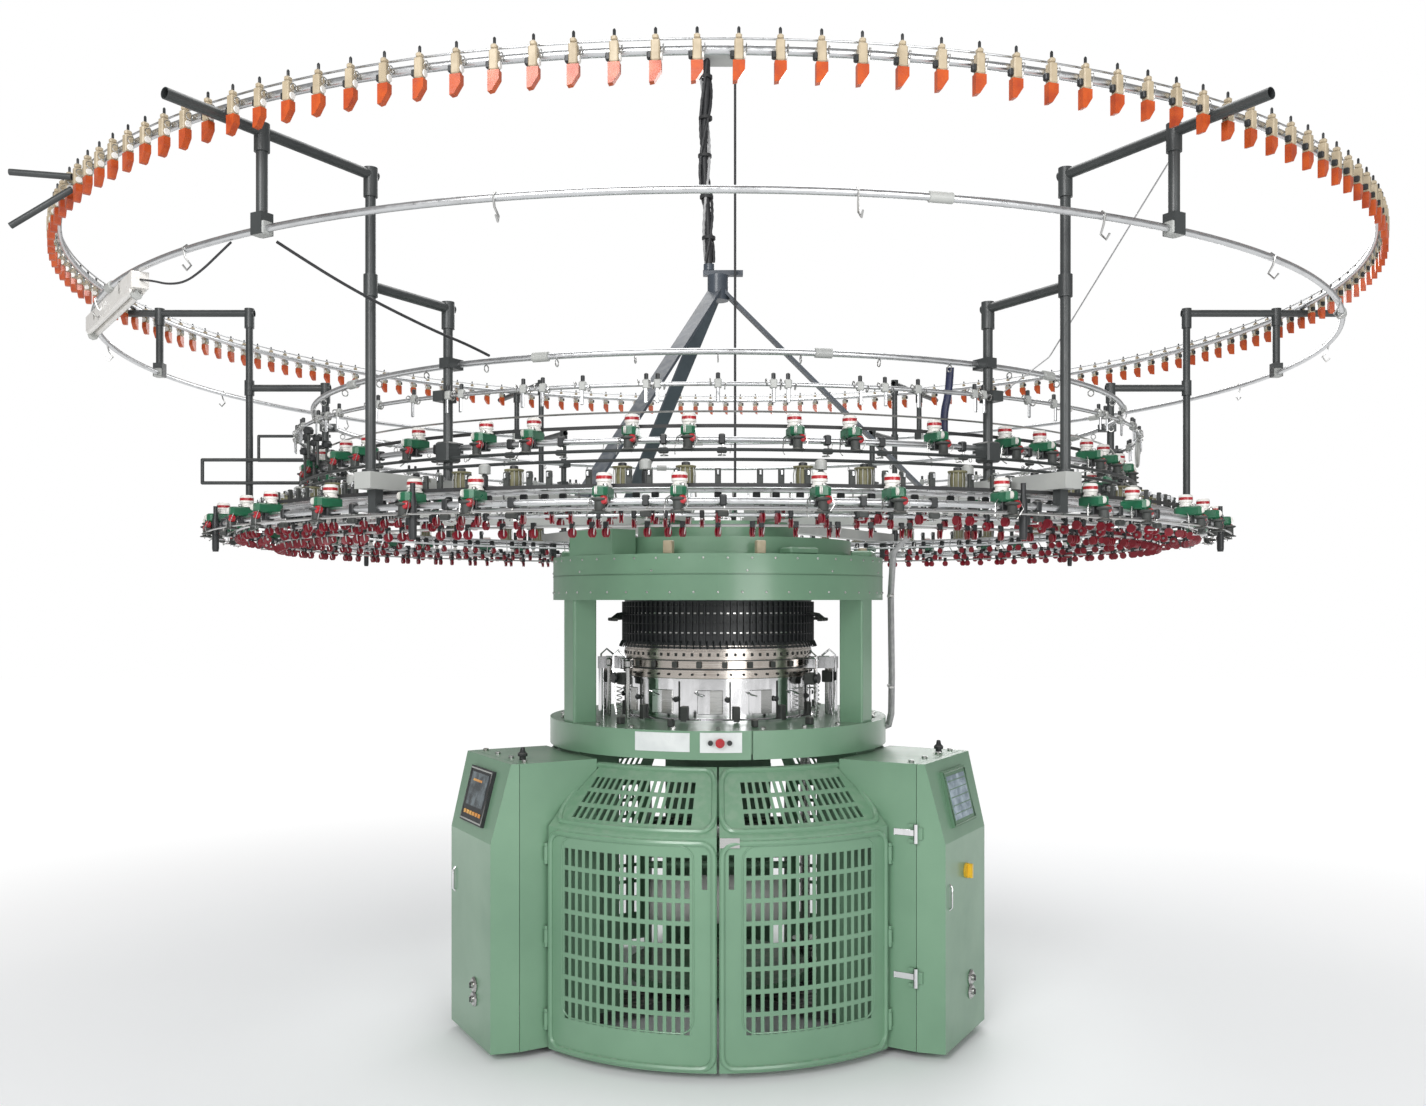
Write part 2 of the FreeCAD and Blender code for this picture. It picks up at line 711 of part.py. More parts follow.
def makeTakedown():
    gear = gearBlank(wheelTeeth, turntableBase, turntableBase + gearFace, hubRadius + running)
    base = turntableBase + gearFace
    near = sidePlateOffset - sidePlateThickness / 2
    far = sidePlateOffset + sidePlateThickness / 2
    solids = [gear]
    rollOffset = rollRadius + rollNip / 2
    for low, high in ((near, far), (-far, -near)):
        plate = box(low, high, -sidePlateHalfDepth, sidePlateHalfDepth, base, sidePlateTop)
        for y, z in ((-rollOffset, rollLevel), (rollOffset, rollLevel), (0, clothLevel)):
            plate = plate.cut(bar(V(low - 1, y, z), V(high + 1, y, z), journalRadius + running))
        solids.append(plate)
    for y in (-100.0, 100.0):
        solids.append(bar(V(-near, y, 560), V(near, y, 560), 14))
    save("takedown_frame", solids)
    for node, y, z, radius in (
        ("draw_roll_front", -rollOffset, rollLevel, rollRadius),
        ("draw_roll_rear", rollOffset, rollLevel, rollRadius),
        ("cloth_roll", 0, clothLevel, clothRadius),
    ):
        roll = bar(V(-near + 2, y, z), V(near - 2, y, z), radius)
        save(node, [roll.fuse(bar(V(-far - 6, y, z), V(far + 6, y, z), journalRadius))])


def makeTop():
    half = columnWidth / 2
    column = box(columnReach - half, columnReach + half, -half, half, bedTop, drumBottom)
    column = column.makeFillet(8, [e for e in column.Edges if abs(e.tangentAt(0).z) > 0.9])
    save("columns", around(column, legAzimuths))
    drum = lathe([
        (drumHole, drumBottom), (drumRadius, drumBottom), (drumRadius, seamLevel),
        (drumRadius - seamDepth, seamLevel), (drumRadius - seamDepth, seamLevel + seamHeight),
        (drumRadius, seamLevel + seamHeight), (drumRadius, drumTop), (drumRadius - drumWall, drumTop),
        (drumRadius - drumWall, drumBottom + drumFloor), (drumHole, drumBottom + drumFloor),
    ])
    save("top_drum", [drum])
    cap = lathe([
        (0, drumTop - 24), (drumRadius - drumWall, drumTop - 24), (drumRadius - drumWall, drumTop),
        (capRadius, drumTop),
        (capRadius, capTop), (hubTopRadius, capTop), (hubTopRadius, hubTop), (0, hubTop),
    ])
    save("top_cap", [cap])
    case = box(capRadius + 8, capRadius + 118, -125, 125, drumTop, drumTop + 92)
    case = case.fuse(box(capRadius - 40, capRadius + 8, -40, 40, capTop, capTop + 26))
    save("gear_box", [turned(case, -46)])


def makeArms():
    arm = box(armInner, armOuter, -armWidth / 2, armWidth / 2, hubTop, armTop)
    save("radial_arms", around(arm, postAzimuths))


def makePosts():
    outerTop = topArmLevel - tubeRadius
    innerTop = lowerArmLevel - tubeRadius
    outer = bar(V(outerPostReach, 0, armTop), V(outerPostReach, 0, outerTop), tubeRadius, tubeWall)
    inner = bar(V(innerPostReach, 0, armTop), V(innerPostReach, 0, innerTop), tubeRadius, tubeWall)
    dropTop = topArmLevel - tubeRadius
    dropFoot = upperRingLevel + upperRingTube + 6
    drop = bar(V(upperRingRadius, 0, dropFoot), V(upperRingRadius, 0, dropTop), tubeRadius, tubeWall)
    save("posts", around(outer, postAzimuths) + around(inner, postAzimuths) + around(drop, postAzimuths))
    upper = bar(V(outerPostReach - 20, 0, topArmLevel), V(topArmReach, 0, topArmLevel), tubeRadius, tubeWall)
    lowerStart = V(innerPostReach - 20, 0, lowerArmLevel)
    lower = bar(lowerStart, V(outerPostReach - tubeRadius, 0, lowerArmLevel), tubeRadius, tubeWall)
    save("cross_tubes", around(upper, postAzimuths) + around(lower, postAzimuths) + makeHoops())

    upperTube = bar(V(0, 0, topArmLevel), V(topArmReach + 50, 0, topArmLevel), tubeRadius)
    lowerTube = bar(V(0, 0, lowerArmLevel), V(outerPostReach, 0, lowerArmLevel), tubeRadius)
    uprightOuter = post(tubeRadius, armTop, topArmLevel - tubeRadius, V(outerPostReach, 0, 0))
    uprightInner = post(tubeRadius, armTop, lowerArmLevel - tubeRadius, V(innerPostReach, 0, 0))
    uprightDrop = post(tubeRadius, upperRingLevel + upperRingTube + 6, topArmLevel, V(upperRingRadius, 0, 0))
    ring = Part.makeTorus(upperRingRadius, upperRingTube, V(0, 0, upperRingLevel))
    fat = tubeRadius + 5.0
    elbow = post(fat, topArmLevel - 60, topArmLevel + fat, V(outerPostReach, 0, 0))
    elbow = elbow.cut(upperTube).cut(uprightOuter)
    kneeInner = post(fat, lowerArmLevel - 60, lowerArmLevel + fat, V(innerPostReach, 0, 0))
    kneeInner = kneeInner.cut(lowerTube).cut(uprightInner)
    tee = post(fat, lowerArmLevel - 30, lowerArmLevel + 30, V(outerPostReach, 0, 0))
    tee = tee.cut(lowerTube).cut(uprightOuter)
    dropTee = post(fat, topArmLevel - 50, topArmLevel + fat, V(upperRingRadius, 0, 0))
    dropTee = dropTee.cut(upperTube).cut(uprightDrop)
    clamp = box(
        upperRingRadius - fat, upperRingRadius + fat, -fat, fat,
        upperRingLevel - 15, upperRingLevel + upperRingTube + 30,
    ).cut(ring).cut(uprightDrop)
    flange = collar(fat + 4, tubeRadius, armTop, armTop + 8, V(outerPostReach, 0, 0))
    flangeInner = collar(fat + 4, tubeRadius, armTop, armTop + 8, V(innerPostReach, 0, 0))
    fittings = []
    for piece in (elbow, kneeInner, tee, dropTee, clamp, flange, flangeInner):
        fittings += around(piece, postAzimuths)
    save("pipe_fittings", fittings + makeSaddles())


def makeHoops():
    """Two flat hoops clamped beside the left-hand posts, and the creel bracket on the top ring."""
    solids = []
    for side, tube, reach, low, high in (
        (1, hoopTube, hoopReach, hoopLow, hoopHigh),
        (-1, smallHoopTube, smallHoopReach, smallHoopLow, smallHoopHigh),
    ):
        y = side * (tubeRadius + tube)
        start = innerPostReach - tubeRadius
        hoop = bar(V(start, y, high), V(reach, y, high), tube)
        hoop = hoop.fuse(bar(V(start, y, low), V(reach, y, low), tube))
        hoop = hoop.fuse(bar(V(reach, y, low), V(reach, y, high), tube))
        for level in (low, high):
            hoop = hoop.fuse(Part.makeSphere(tube, V(reach, y, level)))
        solids.append(turned(hoop, hoopAzimuth))
    outside = stopRingRadius + stopRingTube
    level = topArmLevel + tubeRadius + stopRingTube
    solids.append(turned(box(outside, outside + 6, -14, 14, level - 50, level + 14), creelAzimuth))
    face = outside + 6 + creelTube
    for drop, end in ((0, creelEnd), (34, creelLowEnd)):
        start = polar(face, creelAzimuth, level - drop)
        solids.append(bar(start, start + end, creelTube))
    return solids


def makeRings():
    upper = ringTube(upperRingRadius, upperRingTube, upperRingLevel, outerRingPieces)
    stopLevel = topArmLevel + tubeRadius + stopRingTube
    stopRing = ringTube(stopRingRadius, stopRingTube, stopLevel, outerRingPieces)
    wire = ringTube(stopRingRadius, stopWireRadius, stopLevel + stopWireRise, outerRingPieces, 0)
    save("stop_motion_ring", stopRing + wire)

    inner = ringTube(innerRingRadius, innerRingTube, innerRingLevel)
    guide = ringTube(guideRingRadius, guideRingTube, guideRingLevel)
    save("guide_rings", upper + inner + guide)

    upper = ringTube(upperFeederRadius, feederRingTube, upperFeederLevel)
    lower = ringTube(lowerFeederRadius, feederRingTube, lowerFeederLevel)
    eyelet = ringTube(eyeletRingRadius, eyeletRingTube, eyeletRingLevel, ringPieces, 0)
    save("feeder_rings", upper + lower + eyelet)
    save("reel_ring", bandRing(reelRingInner, reelRingOuter, hubTop - reelRingThickness, hubTop))


def makeSaddles():
    """The blocks that carry the guide and feeder rings on the posts and under the arms."""
    saddles = []
    postFace = post(tubeRadius, armTop, lowerArmLevel, V(innerPostReach, 0, 0))
    for radius, tube, level in (
        (innerRingRadius, innerRingTube, innerRingLevel),
        (guideRingRadius, guideRingTube, guideRingLevel),
        (upperFeederRadius, feederRingTube, upperFeederLevel),
    ):
        near = min(radius, innerPostReach) - 16
        far = max(radius, innerPostReach) + 18
        saddle = box(near, far, -18, 18, level - 15, level + 15)
        saddle = saddle.cut(postFace).cut(Part.makeTorus(radius, tube, V(0, 0, level)))
        saddles += around(saddle, postAzimuths)
    for radius, tube, level, top in (
        (lowerFeederRadius, feederRingTube, lowerFeederLevel, hubTop),
        (eyeletRingRadius, eyeletRingTube, eyeletRingLevel, hubTop - reelRingThickness),
    ):
        hanger = box(radius - 14, radius + 14, -14, 14, level - 14, top)
        hanger = hanger.cut(Part.makeTorus(radius, tube, V(0, 0, level)))
        saddles += around(hanger, postAzimuths)
    return saddles


def makeStopMotions():
    level = topArmLevel + tubeRadius + stopRingTube
    inner = stopRingRadius + stopRingTube
    half = stopUnitWidth / 2
    unitTop = level + stopUnitTop
    body = box(inner, inner + stopUnitDepth, -half, half, unitTop - stopUnitHeight, unitTop)
    body = body.fuse(post(4, unitTop, unitTop + 16, V(inner + stopUnitDepth / 2, 0, 0)))
    bottom = level + stopUnitTop - stopUnitHeight
    points = [
        V(inner + 2, -half, bottom), V(inner + 2, half, bottom), V(inner + 2, half, bottom - 18),
        V(inner + 2, -half, bottom - stopLampHeight),
    ]
    lamp = Part.Face(Part.makePolygon(points + points[:1])).extrude(V(stopUnitDepth - 4, 0, 0))
    azimuths = [360.0 / stopUnits * (i + 0.5) for i in range(stopUnits)]
    save("stop_motions", around(body, azimuths))
    save("stop_lamps", around(lamp, azimuths))


def makeFeeders():
    azimuths = []
    for sectorAzimuth in range(0, 360, 60):
        azimuths += [sectorAzimuth + offset for offset in pairOffsets]
    housings = []
    pulleys = []
    wheels = []
    tapes = []
    for radius, level in ((upperFeederRadius, upperFeederLevel), (lowerFeederRadius, lowerFeederLevel)):
        base = level + feederRingTube
        top = base + housingHeight
        half = housingWidth / 2
        housing = box(radius - housingLength / 2, radius + housingLength / 2, -half, half, base, top)
        edges = [e for e in housing.Edges if abs(e.tangentAt(0).z) > 0.9]
        housings += around(housing.makeFillet(9, edges), azimuths)
        pulley = post(feederPulleyRadius, top, top + feederPulleyHeight, V(radius - feederPulleyInset, 0, 0))
        pulleys += around(pulley, azimuths)
        wheel = post(feederWheelRadius, base - feederWheelHeight, base, V(radius + feederWheelOffset, 0, 0))
        wheels += around(wheel, azimuths)
        tape = radius - feederPulleyInset - feederPulleyRadius
        tapes += bandRing(tape - tapeThickness, tape, top + 1, top + 1 + tapeHeight)
    save("feeder_housings", housings)
    save("feeder_pulleys", pulleys)
    save("feed_tapes", tapes)

    reel = post(reelRadius, hubTop, hubTop + reelHeight, V(reelReach, 0, 0))
    save("yarn_reels", around(reel, azimuths))
    low = eyeletRingLevel - eyeletRingTube - eyeletWheelHang
    middle = low + eyeletWheelRadius
    start = V(eyeletRingRadius, -eyeletWheelWidth / 2, middle)
    wheel = bar(start, start + V(0, eyeletWheelWidth, 0), eyeletWheelRadius)
    neckLow = middle + eyeletWheelRadius - 1
    neck = box(eyeletRingRadius - 2, eyeletRingRadius + 2, -2, 2, neckLow, eyeletRingLevel - 3)
    wheel = wheel.fuse(neck).cut(Part.makeTorus(eyeletRingRadius, eyeletRingTube, V(0, 0, eyeletRingLevel)))
    eyelets = around(wheel, [azimuth + turn for azimuth in azimuths for turn in (-1.6, 1.6)])
    save("yarn_wheels", wheels + eyelets)


def makeTripod():
    apex = V(0, 0, tripodTop)
    legs = []
    for azimuth in tripodAzimuths:
        foot = V(tripodReach, 0, armTop - 40)
        run = foot - apex
        leg = Part.makeBox(tripodBar, tripodSection, run.Length, V(-tripodBar / 2, -tripodSection / 2, 0))
        leg.Placement = FreeCAD.Placement(apex, FreeCAD.Rotation(UP, run))
        leg = leg.common(post(2 * tripodReach, armTop, tripodTop - 20))
        leg = leg.cut(post(tripodHeadRadius, tripodTop - 100, tripodTop + 100))
        legs.append(turned(leg, azimuth))
    head = post(tripodHeadRadius, tripodTop - 60, tripodTop + 40)
    cross = box(-60, 100, -16, 16, tripodTop + 40, tripodTop + 60)
    top = tripodTop + 60
    gland = post(cableRadius + 8, top, top + 26, V(glandOffset, 0, 0))
    gland = gland.cut(post(cableRadius + clear, top + 6, top + 27, V(glandOffset, 0, 0)))
    save("tripod", legs + [head.fuse(cross).fuse(gland)])


def cordTube(points, radius):
    """A tube of straight runs joined by arcs; every arc is as large as its two runs allow."""
    edges = []
    radii = []
    start = points[0]
    for before, corner, after in zip(points, points[1:], points[2:]):
        into = corner - before
        away = after - corner
        turn = into.getAngle(away)
        cut = 0.45 * min(into.Length, away.Length)
        radii.append(cut / math.tan(turn / 2))
        first = corner - V(into).normalize() * cut
        last = corner + V(away).normalize() * cut
        inward = (V(away).normalize() - V(into).normalize()).normalize()
        rise = radii[-1] / math.cos(turn / 2) - radii[-1]
        edges.append(Part.LineSegment(start, first).toShape())
        edges.append(Part.Arc(first, corner + inward * rise, last).toShape())
        start = last
    edges.append(Part.LineSegment(start, points[-1]).toShape())
    length = sum(edge.Length for edge in edges)
    heading = points[1] - points[0]
    section = Part.Wire(Part.makeCircle(radius, points[0], heading))
    tube = Part.Wire(edges).makePipeShell([section], True, False)
    ratio = tube.Volume / (math.pi * radius ** 2 * length)
    print(f"cord {length:.0f} mm long, smallest radius {min(radii, default=0):.0f}, volume ratio {ratio:.4f}")
    return tube


def makeCables():
    top = tripodTop + 60
    points = [
        V(glandOffset, 0, top + 6), V(glandOffset, 0, top + 150), V(-50, 4, top + 330), V(-58, -3, top + 520),
        V(-45, 0, top + 690), V(-45, 0, ceilingLevel),
    ]
    save("supply_cable", [cordTube(points, cableRadius)])
    save("data_cable", [cordTube([V(68, -48, hubTop), V(68, -48, ceilingLevel)], thinCableRadius)])
    plate = box(-110, 110, -60, 60, ceilingLevel, ceilingLevel + ceilingPlate)
    save("ceiling_plate", [plate])

    lampCord = [
        polar(2240, -44.95, 2478), polar(2238, -43.0, 2462), polar(2236, -40.8, 2438), polar(2236, -38.4, 2428),
        polar(2238, -36.2, 2446), polar(2240, -34.3, 2474), polar(2240, -33.0, 2496),
    ]
    leftWire = [
        V(-1096, -1904, 2490), V(-1031, -1830, 2452), V(-966, -1756, 2418), V(-901, -1682, 2389),
        V(-836, -1608, 2364), V(-771, -1534, 2341), V(-706, -1464, 2323), V(-661, -1400, 2306),
    ]
    rightWire = [polar(2218, 30.8, 2714), polar(1566, 40.3, 2343), polar(1592, 31.3, 2202)]
    airHose = [
        polar(1520, 26.5, 2280), polar(1505, 26.8, 2210), polar(1492, 26.3, 2140), polar(1484, 26.8, 2062),
    ]
    save("side_cables", [
        cordTube(lampCord, lampCordRadius), cordTube(leftWire, wireRadius), cordTube(rightWire, yarnWireRadius),
        cordTube(airHose, hoseRadius),
    ])

    start = polar(upperRingRadius, lampNear, upperRingLevel - upperRingTube)
    end = polar(upperRingRadius, lampFar, upperRingLevel - upperRingTube)
    run = end - start
    batten = box(0, run.Length, -lampDepth / 2, lampDepth / 2, -lampDepth, 0)
    batten.rotate(ORIGIN, UP, math.degrees(math.atan2(run.y, run.x)))
    save("lamp_batten", [moved(batten, start)])


os.makedirs("parts", exist_ok=True)
makeBase()
makeBed()
makeCabinets()
for coverName, coverAzimuth, coverSide, coverFitting in zip(
    ("cover_right", "cover_left", "cover_rear"), legAzimuths, coverSides, ("switch", "", "")
):
    makeCover(coverName, coverAzimuth, coverSide, coverFitting)
makePanels()
makeGate()
makeButtons()
makeDrive()
makeHead()
makeTakedown()
makeTop()
makeArms()
makePosts()
makeRings()
makeStopMotions()
makeFeeders()
makeTripod()
makeCables()
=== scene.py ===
import math

import bpy
import numpy as np
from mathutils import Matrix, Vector


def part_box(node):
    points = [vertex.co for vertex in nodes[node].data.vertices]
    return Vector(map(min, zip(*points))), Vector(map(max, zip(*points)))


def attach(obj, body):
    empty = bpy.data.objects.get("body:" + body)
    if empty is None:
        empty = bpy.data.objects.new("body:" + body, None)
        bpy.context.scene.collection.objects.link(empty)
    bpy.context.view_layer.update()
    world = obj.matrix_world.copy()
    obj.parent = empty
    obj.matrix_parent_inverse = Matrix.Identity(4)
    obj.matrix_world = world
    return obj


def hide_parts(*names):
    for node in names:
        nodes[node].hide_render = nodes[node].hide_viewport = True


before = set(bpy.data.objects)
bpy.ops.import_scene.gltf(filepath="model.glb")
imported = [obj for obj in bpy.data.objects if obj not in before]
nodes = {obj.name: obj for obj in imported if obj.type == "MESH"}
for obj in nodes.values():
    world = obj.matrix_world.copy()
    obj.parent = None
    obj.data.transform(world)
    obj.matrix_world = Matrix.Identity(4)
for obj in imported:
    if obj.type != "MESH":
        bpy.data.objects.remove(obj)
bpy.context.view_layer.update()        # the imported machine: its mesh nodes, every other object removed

scene = bpy.context.scene
print("frame loaded:", len(nodes), "nodes")

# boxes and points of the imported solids, in metres


def nodeBox(name):
    low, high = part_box(name)
    return np.array(low), np.array(high)


def nodePoints(name):
    mesh = nodes[name].data
    points = np.empty(len(mesh.vertices) * 3)
    mesh.vertices.foreach_get("co", points)
    return points.reshape(-1, 3)


# camera at eye height, level, five metres from the axis
cameraSettings = {"distance": 5.0, "height": 1.6, "lens": 31.46, "shiftX": -0.0035, "shiftY": 0.033}


def makeCamera(settings):
    data = bpy.data.cameras.new("camera")
    data.sensor_width = 36.0
    data.lens = settings["lens"]
    data.shift_x = settings["shiftX"]
    data.shift_y = settings["shiftY"]
    camera = bpy.data.objects.new("camera", data)
    camera.location = (0.0, -settings["distance"], settings["height"])
    camera.rotation_euler = (math.pi / 2, 0.0, 0.0)
    scene.collection.objects.link(camera)
    scene.camera = camera


makeCamera(cameraSettings)

# cords: the same points as the solids, in metres


def polarPoint(radius, azimuth, height=0.0):
    angle = math.radians(azimuth)
    return np.array([radius * math.sin(angle), -radius * math.cos(angle), height])


lampRoute = [
    polarPoint(2.240, -44.95, 2.478), polarPoint(2.238, -43.0, 2.462), polarPoint(2.236, -40.8, 2.438),
    polarPoint(2.236, -38.4, 2.428), polarPoint(2.238, -36.2, 2.446), polarPoint(2.240, -34.3, 2.474),
    polarPoint(2.240, -33.0, 2.496),
]
leftWireRoute = [
    (-1.096, -1.904, 2.490), (-1.031, -1.830, 2.452), (-0.966, -1.756, 2.418), (-0.901, -1.682, 2.389),
    (-0.836, -1.608, 2.364), (-0.771, -1.534, 2.341), (-0.706, -1.464, 2.323), (-0.661, -1.400, 2.306),
]
rightWireRoute = [
    polarPoint(2.218, 30.8, 2.714), polarPoint(1.606, 39.4, 2.366), polarPoint(1.566, 40.3, 2.343),
    polarPoint(1.570, 39.4, 2.331), polarPoint(1.592, 31.3, 2.202),
]
hoseRoute = [
    polarPoint(1.520, 26.5, 2.280), polarPoint(1.505, 26.8, 2.210), polarPoint(1.492, 26.3, 2.140),
    polarPoint(1.484, 26.8, 2.062),
]
supplyRoute = [
    (-0.036, 0.0, 2.926), (-0.036, 0.0, 3.070), (-0.050, 0.004, 3.250), (-0.058, -0.003, 3.440),
    (-0.045, 0.0, 3.610), (-0.045, 0.0, 3.765),
]
dataRoute = [(0.068, -0.048, 1.900), (0.068, -0.048, 3.765)]


def makeSpline(name, route, radius, material, bevel=3):
    curve = bpy.data.curves.new(name, "CURVE")
    curve.dimensions = "3D"
    curve.bevel_depth = radius
    curve.bevel_resolution = bevel
    curve.resolution_u = 12
    curve.use_fill_caps = True
    spline = curve.splines.new("NURBS")
    spline.points.add(len(route) - 1)
    points = np.ones((len(route), 4))
    points[:, :3] = np.array(route)
    spline.points.foreach_set("co", points.ravel())
    spline.order_u = min(3, len(route))
    spline.use_endpoint_u = True
    curve.materials.append(material)
    cord = bpy.data.objects.new(name, curve)
    scene.collection.objects.link(cord)
    return cord


# shader node groups


def newGroup(name, inputs, outputs):
    group = bpy.data.node_groups.new(name, "ShaderNodeTree")
    for label, kind, value in inputs:
        socket = group.interface.new_socket(name=label, in_out="INPUT", socket_type=kind)
        socket.default_value = value
    for label, kind in outputs:
        group.interface.new_socket(name=label, in_out="OUTPUT", socket_type=kind)
    start = group.nodes.new("NodeGroupInput")
    end = group.nodes.new("NodeGroupOutput")
    return group, start, end


def addNode(tree, kind, links=None, **values):
    node = tree.nodes.new(kind)
    for key, value in values.items():
        if key.startswith("in_"):
            node.inputs[int(key[3:])].default_value = value
        else:
            setattr(node, key, value)
    for index, source in (links or {}).items():
        tree.links.new(source, node.inputs[index])
    return node


def mixColours(tree, factor, first, second, mode="MIX"):
    node = tree.nodes.new("ShaderNodeMix")
    node.data_type = "RGBA"
    node.blend_type = mode
    for socket, value in ((node.inputs[0], factor), (node.inputs[6], first), (node.inputs[7], second)):
        if isinstance(value, bpy.types.NodeSocket):
            tree.links.new(value, socket)
        else:
            socket.default_value = value
    return node.outputs[2]


def spreadValue(tree, source, low, high, toLow=0.0, toHigh=1.0):
    node = addNode(tree, "ShaderNodeMapRange", {0: source}, in_1=low, in_2=high, in_3=toLow, in_4=toHigh)
    return node.outputs[0]


# paint: cloudy tone, fine orange peel and dust that settles on what faces up
def makePaintGroup():
    group, start, end = newGroup(
        "paintSurface",
        [("Colour", "NodeSocketColor", (0.5, 0.5, 0.5, 1)), ("Shade", "NodeSocketColor", (0.3, 0.3, 0.3, 1)),
         ("Dust", "NodeSocketColor", (0.5, 0.48, 0.44, 1)), ("Scale", "NodeSocketFloat", 3.0),
         ("DustAmount", "NodeSocketFloat", 0.2), ("Rough", "NodeSocketFloat", 0.35)],
        [("Color", "NodeSocketColor"), ("Roughness", "NodeSocketFloat"), ("Height", "NodeSocketFloat")],
    )
    place = addNode(group, "ShaderNodeTexCoord")
    cloud = addNode(group, "ShaderNodeTexNoise", {0: place.outputs["Object"], 2: start.outputs["Scale"]}, in_3=5.0)
    tone = mixColours(
        group, spreadValue(group, cloud.outputs[0], 0.35, 0.68), start.outputs["Colour"], start.outputs["Shade"])
    shape = addNode(group, "ShaderNodeNewGeometry")
    split = addNode(group, "ShaderNodeSeparateXYZ", {0: shape.outputs["Normal"]})
    upward = spreadValue(group, split.outputs[2], 0.5, 0.98)
    speck = addNode(group, "ShaderNodeTexNoise", {0: place.outputs["Object"]}, in_2=38.0, in_3=6.0)
    patch = addNode(group, "ShaderNodeMath", {0: upward, 1: spreadValue(group, speck.outputs[0], 0.42, 0.62)},
                    operation="MULTIPLY")
    dust = addNode(group, "ShaderNodeMath", {0: patch.outputs[0], 1: start.outputs["DustAmount"]},
                   operation="MULTIPLY")
    colour = mixColours(group, dust.outputs[0], tone, start.outputs["Dust"])
    smear = spreadValue(group, cloud.outputs[0], 0.3, 0.7, -0.05, 0.08)
    rough = addNode(group, "ShaderNodeMath", {0: start.outputs["Rough"], 1: smear}, operation="ADD")
    rougher = addNode(group, "ShaderNodeMath", {0: dust.outputs[0], 2: rough.outputs[0]}, in_1=0.35,
                      operation="MULTIPLY_ADD")
    peel = addNode(group, "ShaderNodeTexNoise", {0: place.outputs["Object"]}, in_2=420.0, in_3=2.0)
    group.links.new(colour, end.inputs[0])
    group.links.new(rougher.outputs[0], end.inputs[1])
    group.links.new(peel.outputs[0], end.inputs[2])
    return group


# metal: fine turning lines along one direction, with stains that change the gloss
def makeMetalGroup():
    group, start, end = newGroup(
        "metalSurface",
        [("Colour", "NodeSocketColor", (0.6, 0.6, 0.6, 1)), ("Stain", "NodeSocketColor", (0.3, 0.28, 0.25, 1)),
         ("Stretch", "NodeSocketVector", (8.0, 8.0, 400.0)), ("Rough", "NodeSocketFloat", 0.25)],
        [("Color", "NodeSocketColor"), ("Roughness", "NodeSocketFloat"), ("Height", "NodeSocketFloat")],
    )
    place = addNode(group, "ShaderNodeTexCoord")
    scaled = addNode(group, "ShaderNodeVectorMath", {0: place.outputs["Object"], 1: start.outputs["Stretch"]},
                     operation="MULTIPLY")
    line = addNode(group, "ShaderNodeTexNoise", {0: scaled.outputs[0]}, in_2=1.0, in_3=4.0)
    stain = addNode(group, "ShaderNodeTexNoise", {0: place.outputs["Object"]}, in_2=14.0, in_3=6.0)
    mask = spreadValue(group, stain.outputs[0], 0.52, 0.75, 0.0, 0.5)
    colour = mixColours(group, mask, start.outputs["Colour"], start.outputs["Stain"])
    wave = spreadValue(group, line.outputs[0], 0.3, 0.7, -0.06, 0.1)
    rough = addNode(group, "ShaderNodeMath", {0: start.outputs["Rough"], 1: wave}, operation="ADD")
    group.links.new(colour, end.inputs[0])
    group.links.new(rough.outputs[0], end.inputs[1])
    group.links.new(line.outputs[0], end.inputs[2])
    return group


paintGroup = makePaintGroup()
metalGroup = makeMetalGroup()


def rgba(colour):
    return (*colour, 1.0)


def newMaterial(name):
    material = bpy.data.materials.new(name)
    material.use_nodes = True
    tree = material.node_tree
    return material, tree, tree.nodes["Principled BSDF"]


def placeGroup(tree, group, values, shader, bumpStrength, bumpDistance):
    node = tree.nodes.new("ShaderNodeGroup")
    node.node_tree = group
    for label, value in values.items():
        node.inputs[label].default_value = value
    tree.links.new(node.outputs["Color"], shader.inputs["Base Color"])
    tree.links.new(node.outputs["Roughness"], shader.inputs["Roughness"])
    bump = addNode(tree, "ShaderNodeBump", {2: node.outputs["Height"]}, in_0=bumpStrength, in_1=bumpDistance)
    tree.links.new(bump.outputs[0], shader.inputs["Normal"])
    return node


def paintMaterial(name, colour, shade, rough=0.35, coat=0.0, dust=0.2, scale=3.0, bump=0.04):
    material, tree, shader = newMaterial(name)
    values = {"Colour": rgba(colour), "Shade": rgba(shade), "Rough": rough, "DustAmount": dust, "Scale": scale}
    placeGroup(tree, paintGroup, values, shader, bump, 0.0004)
    shader.inputs["Coat Weight"].default_value = coat
    shader.inputs["Coat Roughness"].default_value = 0.18
    return material


def metalMaterial(name, colour, stain, rough=0.25, stretch=(8.0, 8.0, 400.0), bump=0.05):
    material, tree, shader = newMaterial(name)
    values = {"Colour": rgba(colour), "Stain": rgba(stain), "Rough": rough, "Stretch": stretch}
    placeGroup(tree, metalGroup, values, shader, bump, 0.0003)
    shader.inputs["Metallic"].default_value = 1.0
    return material


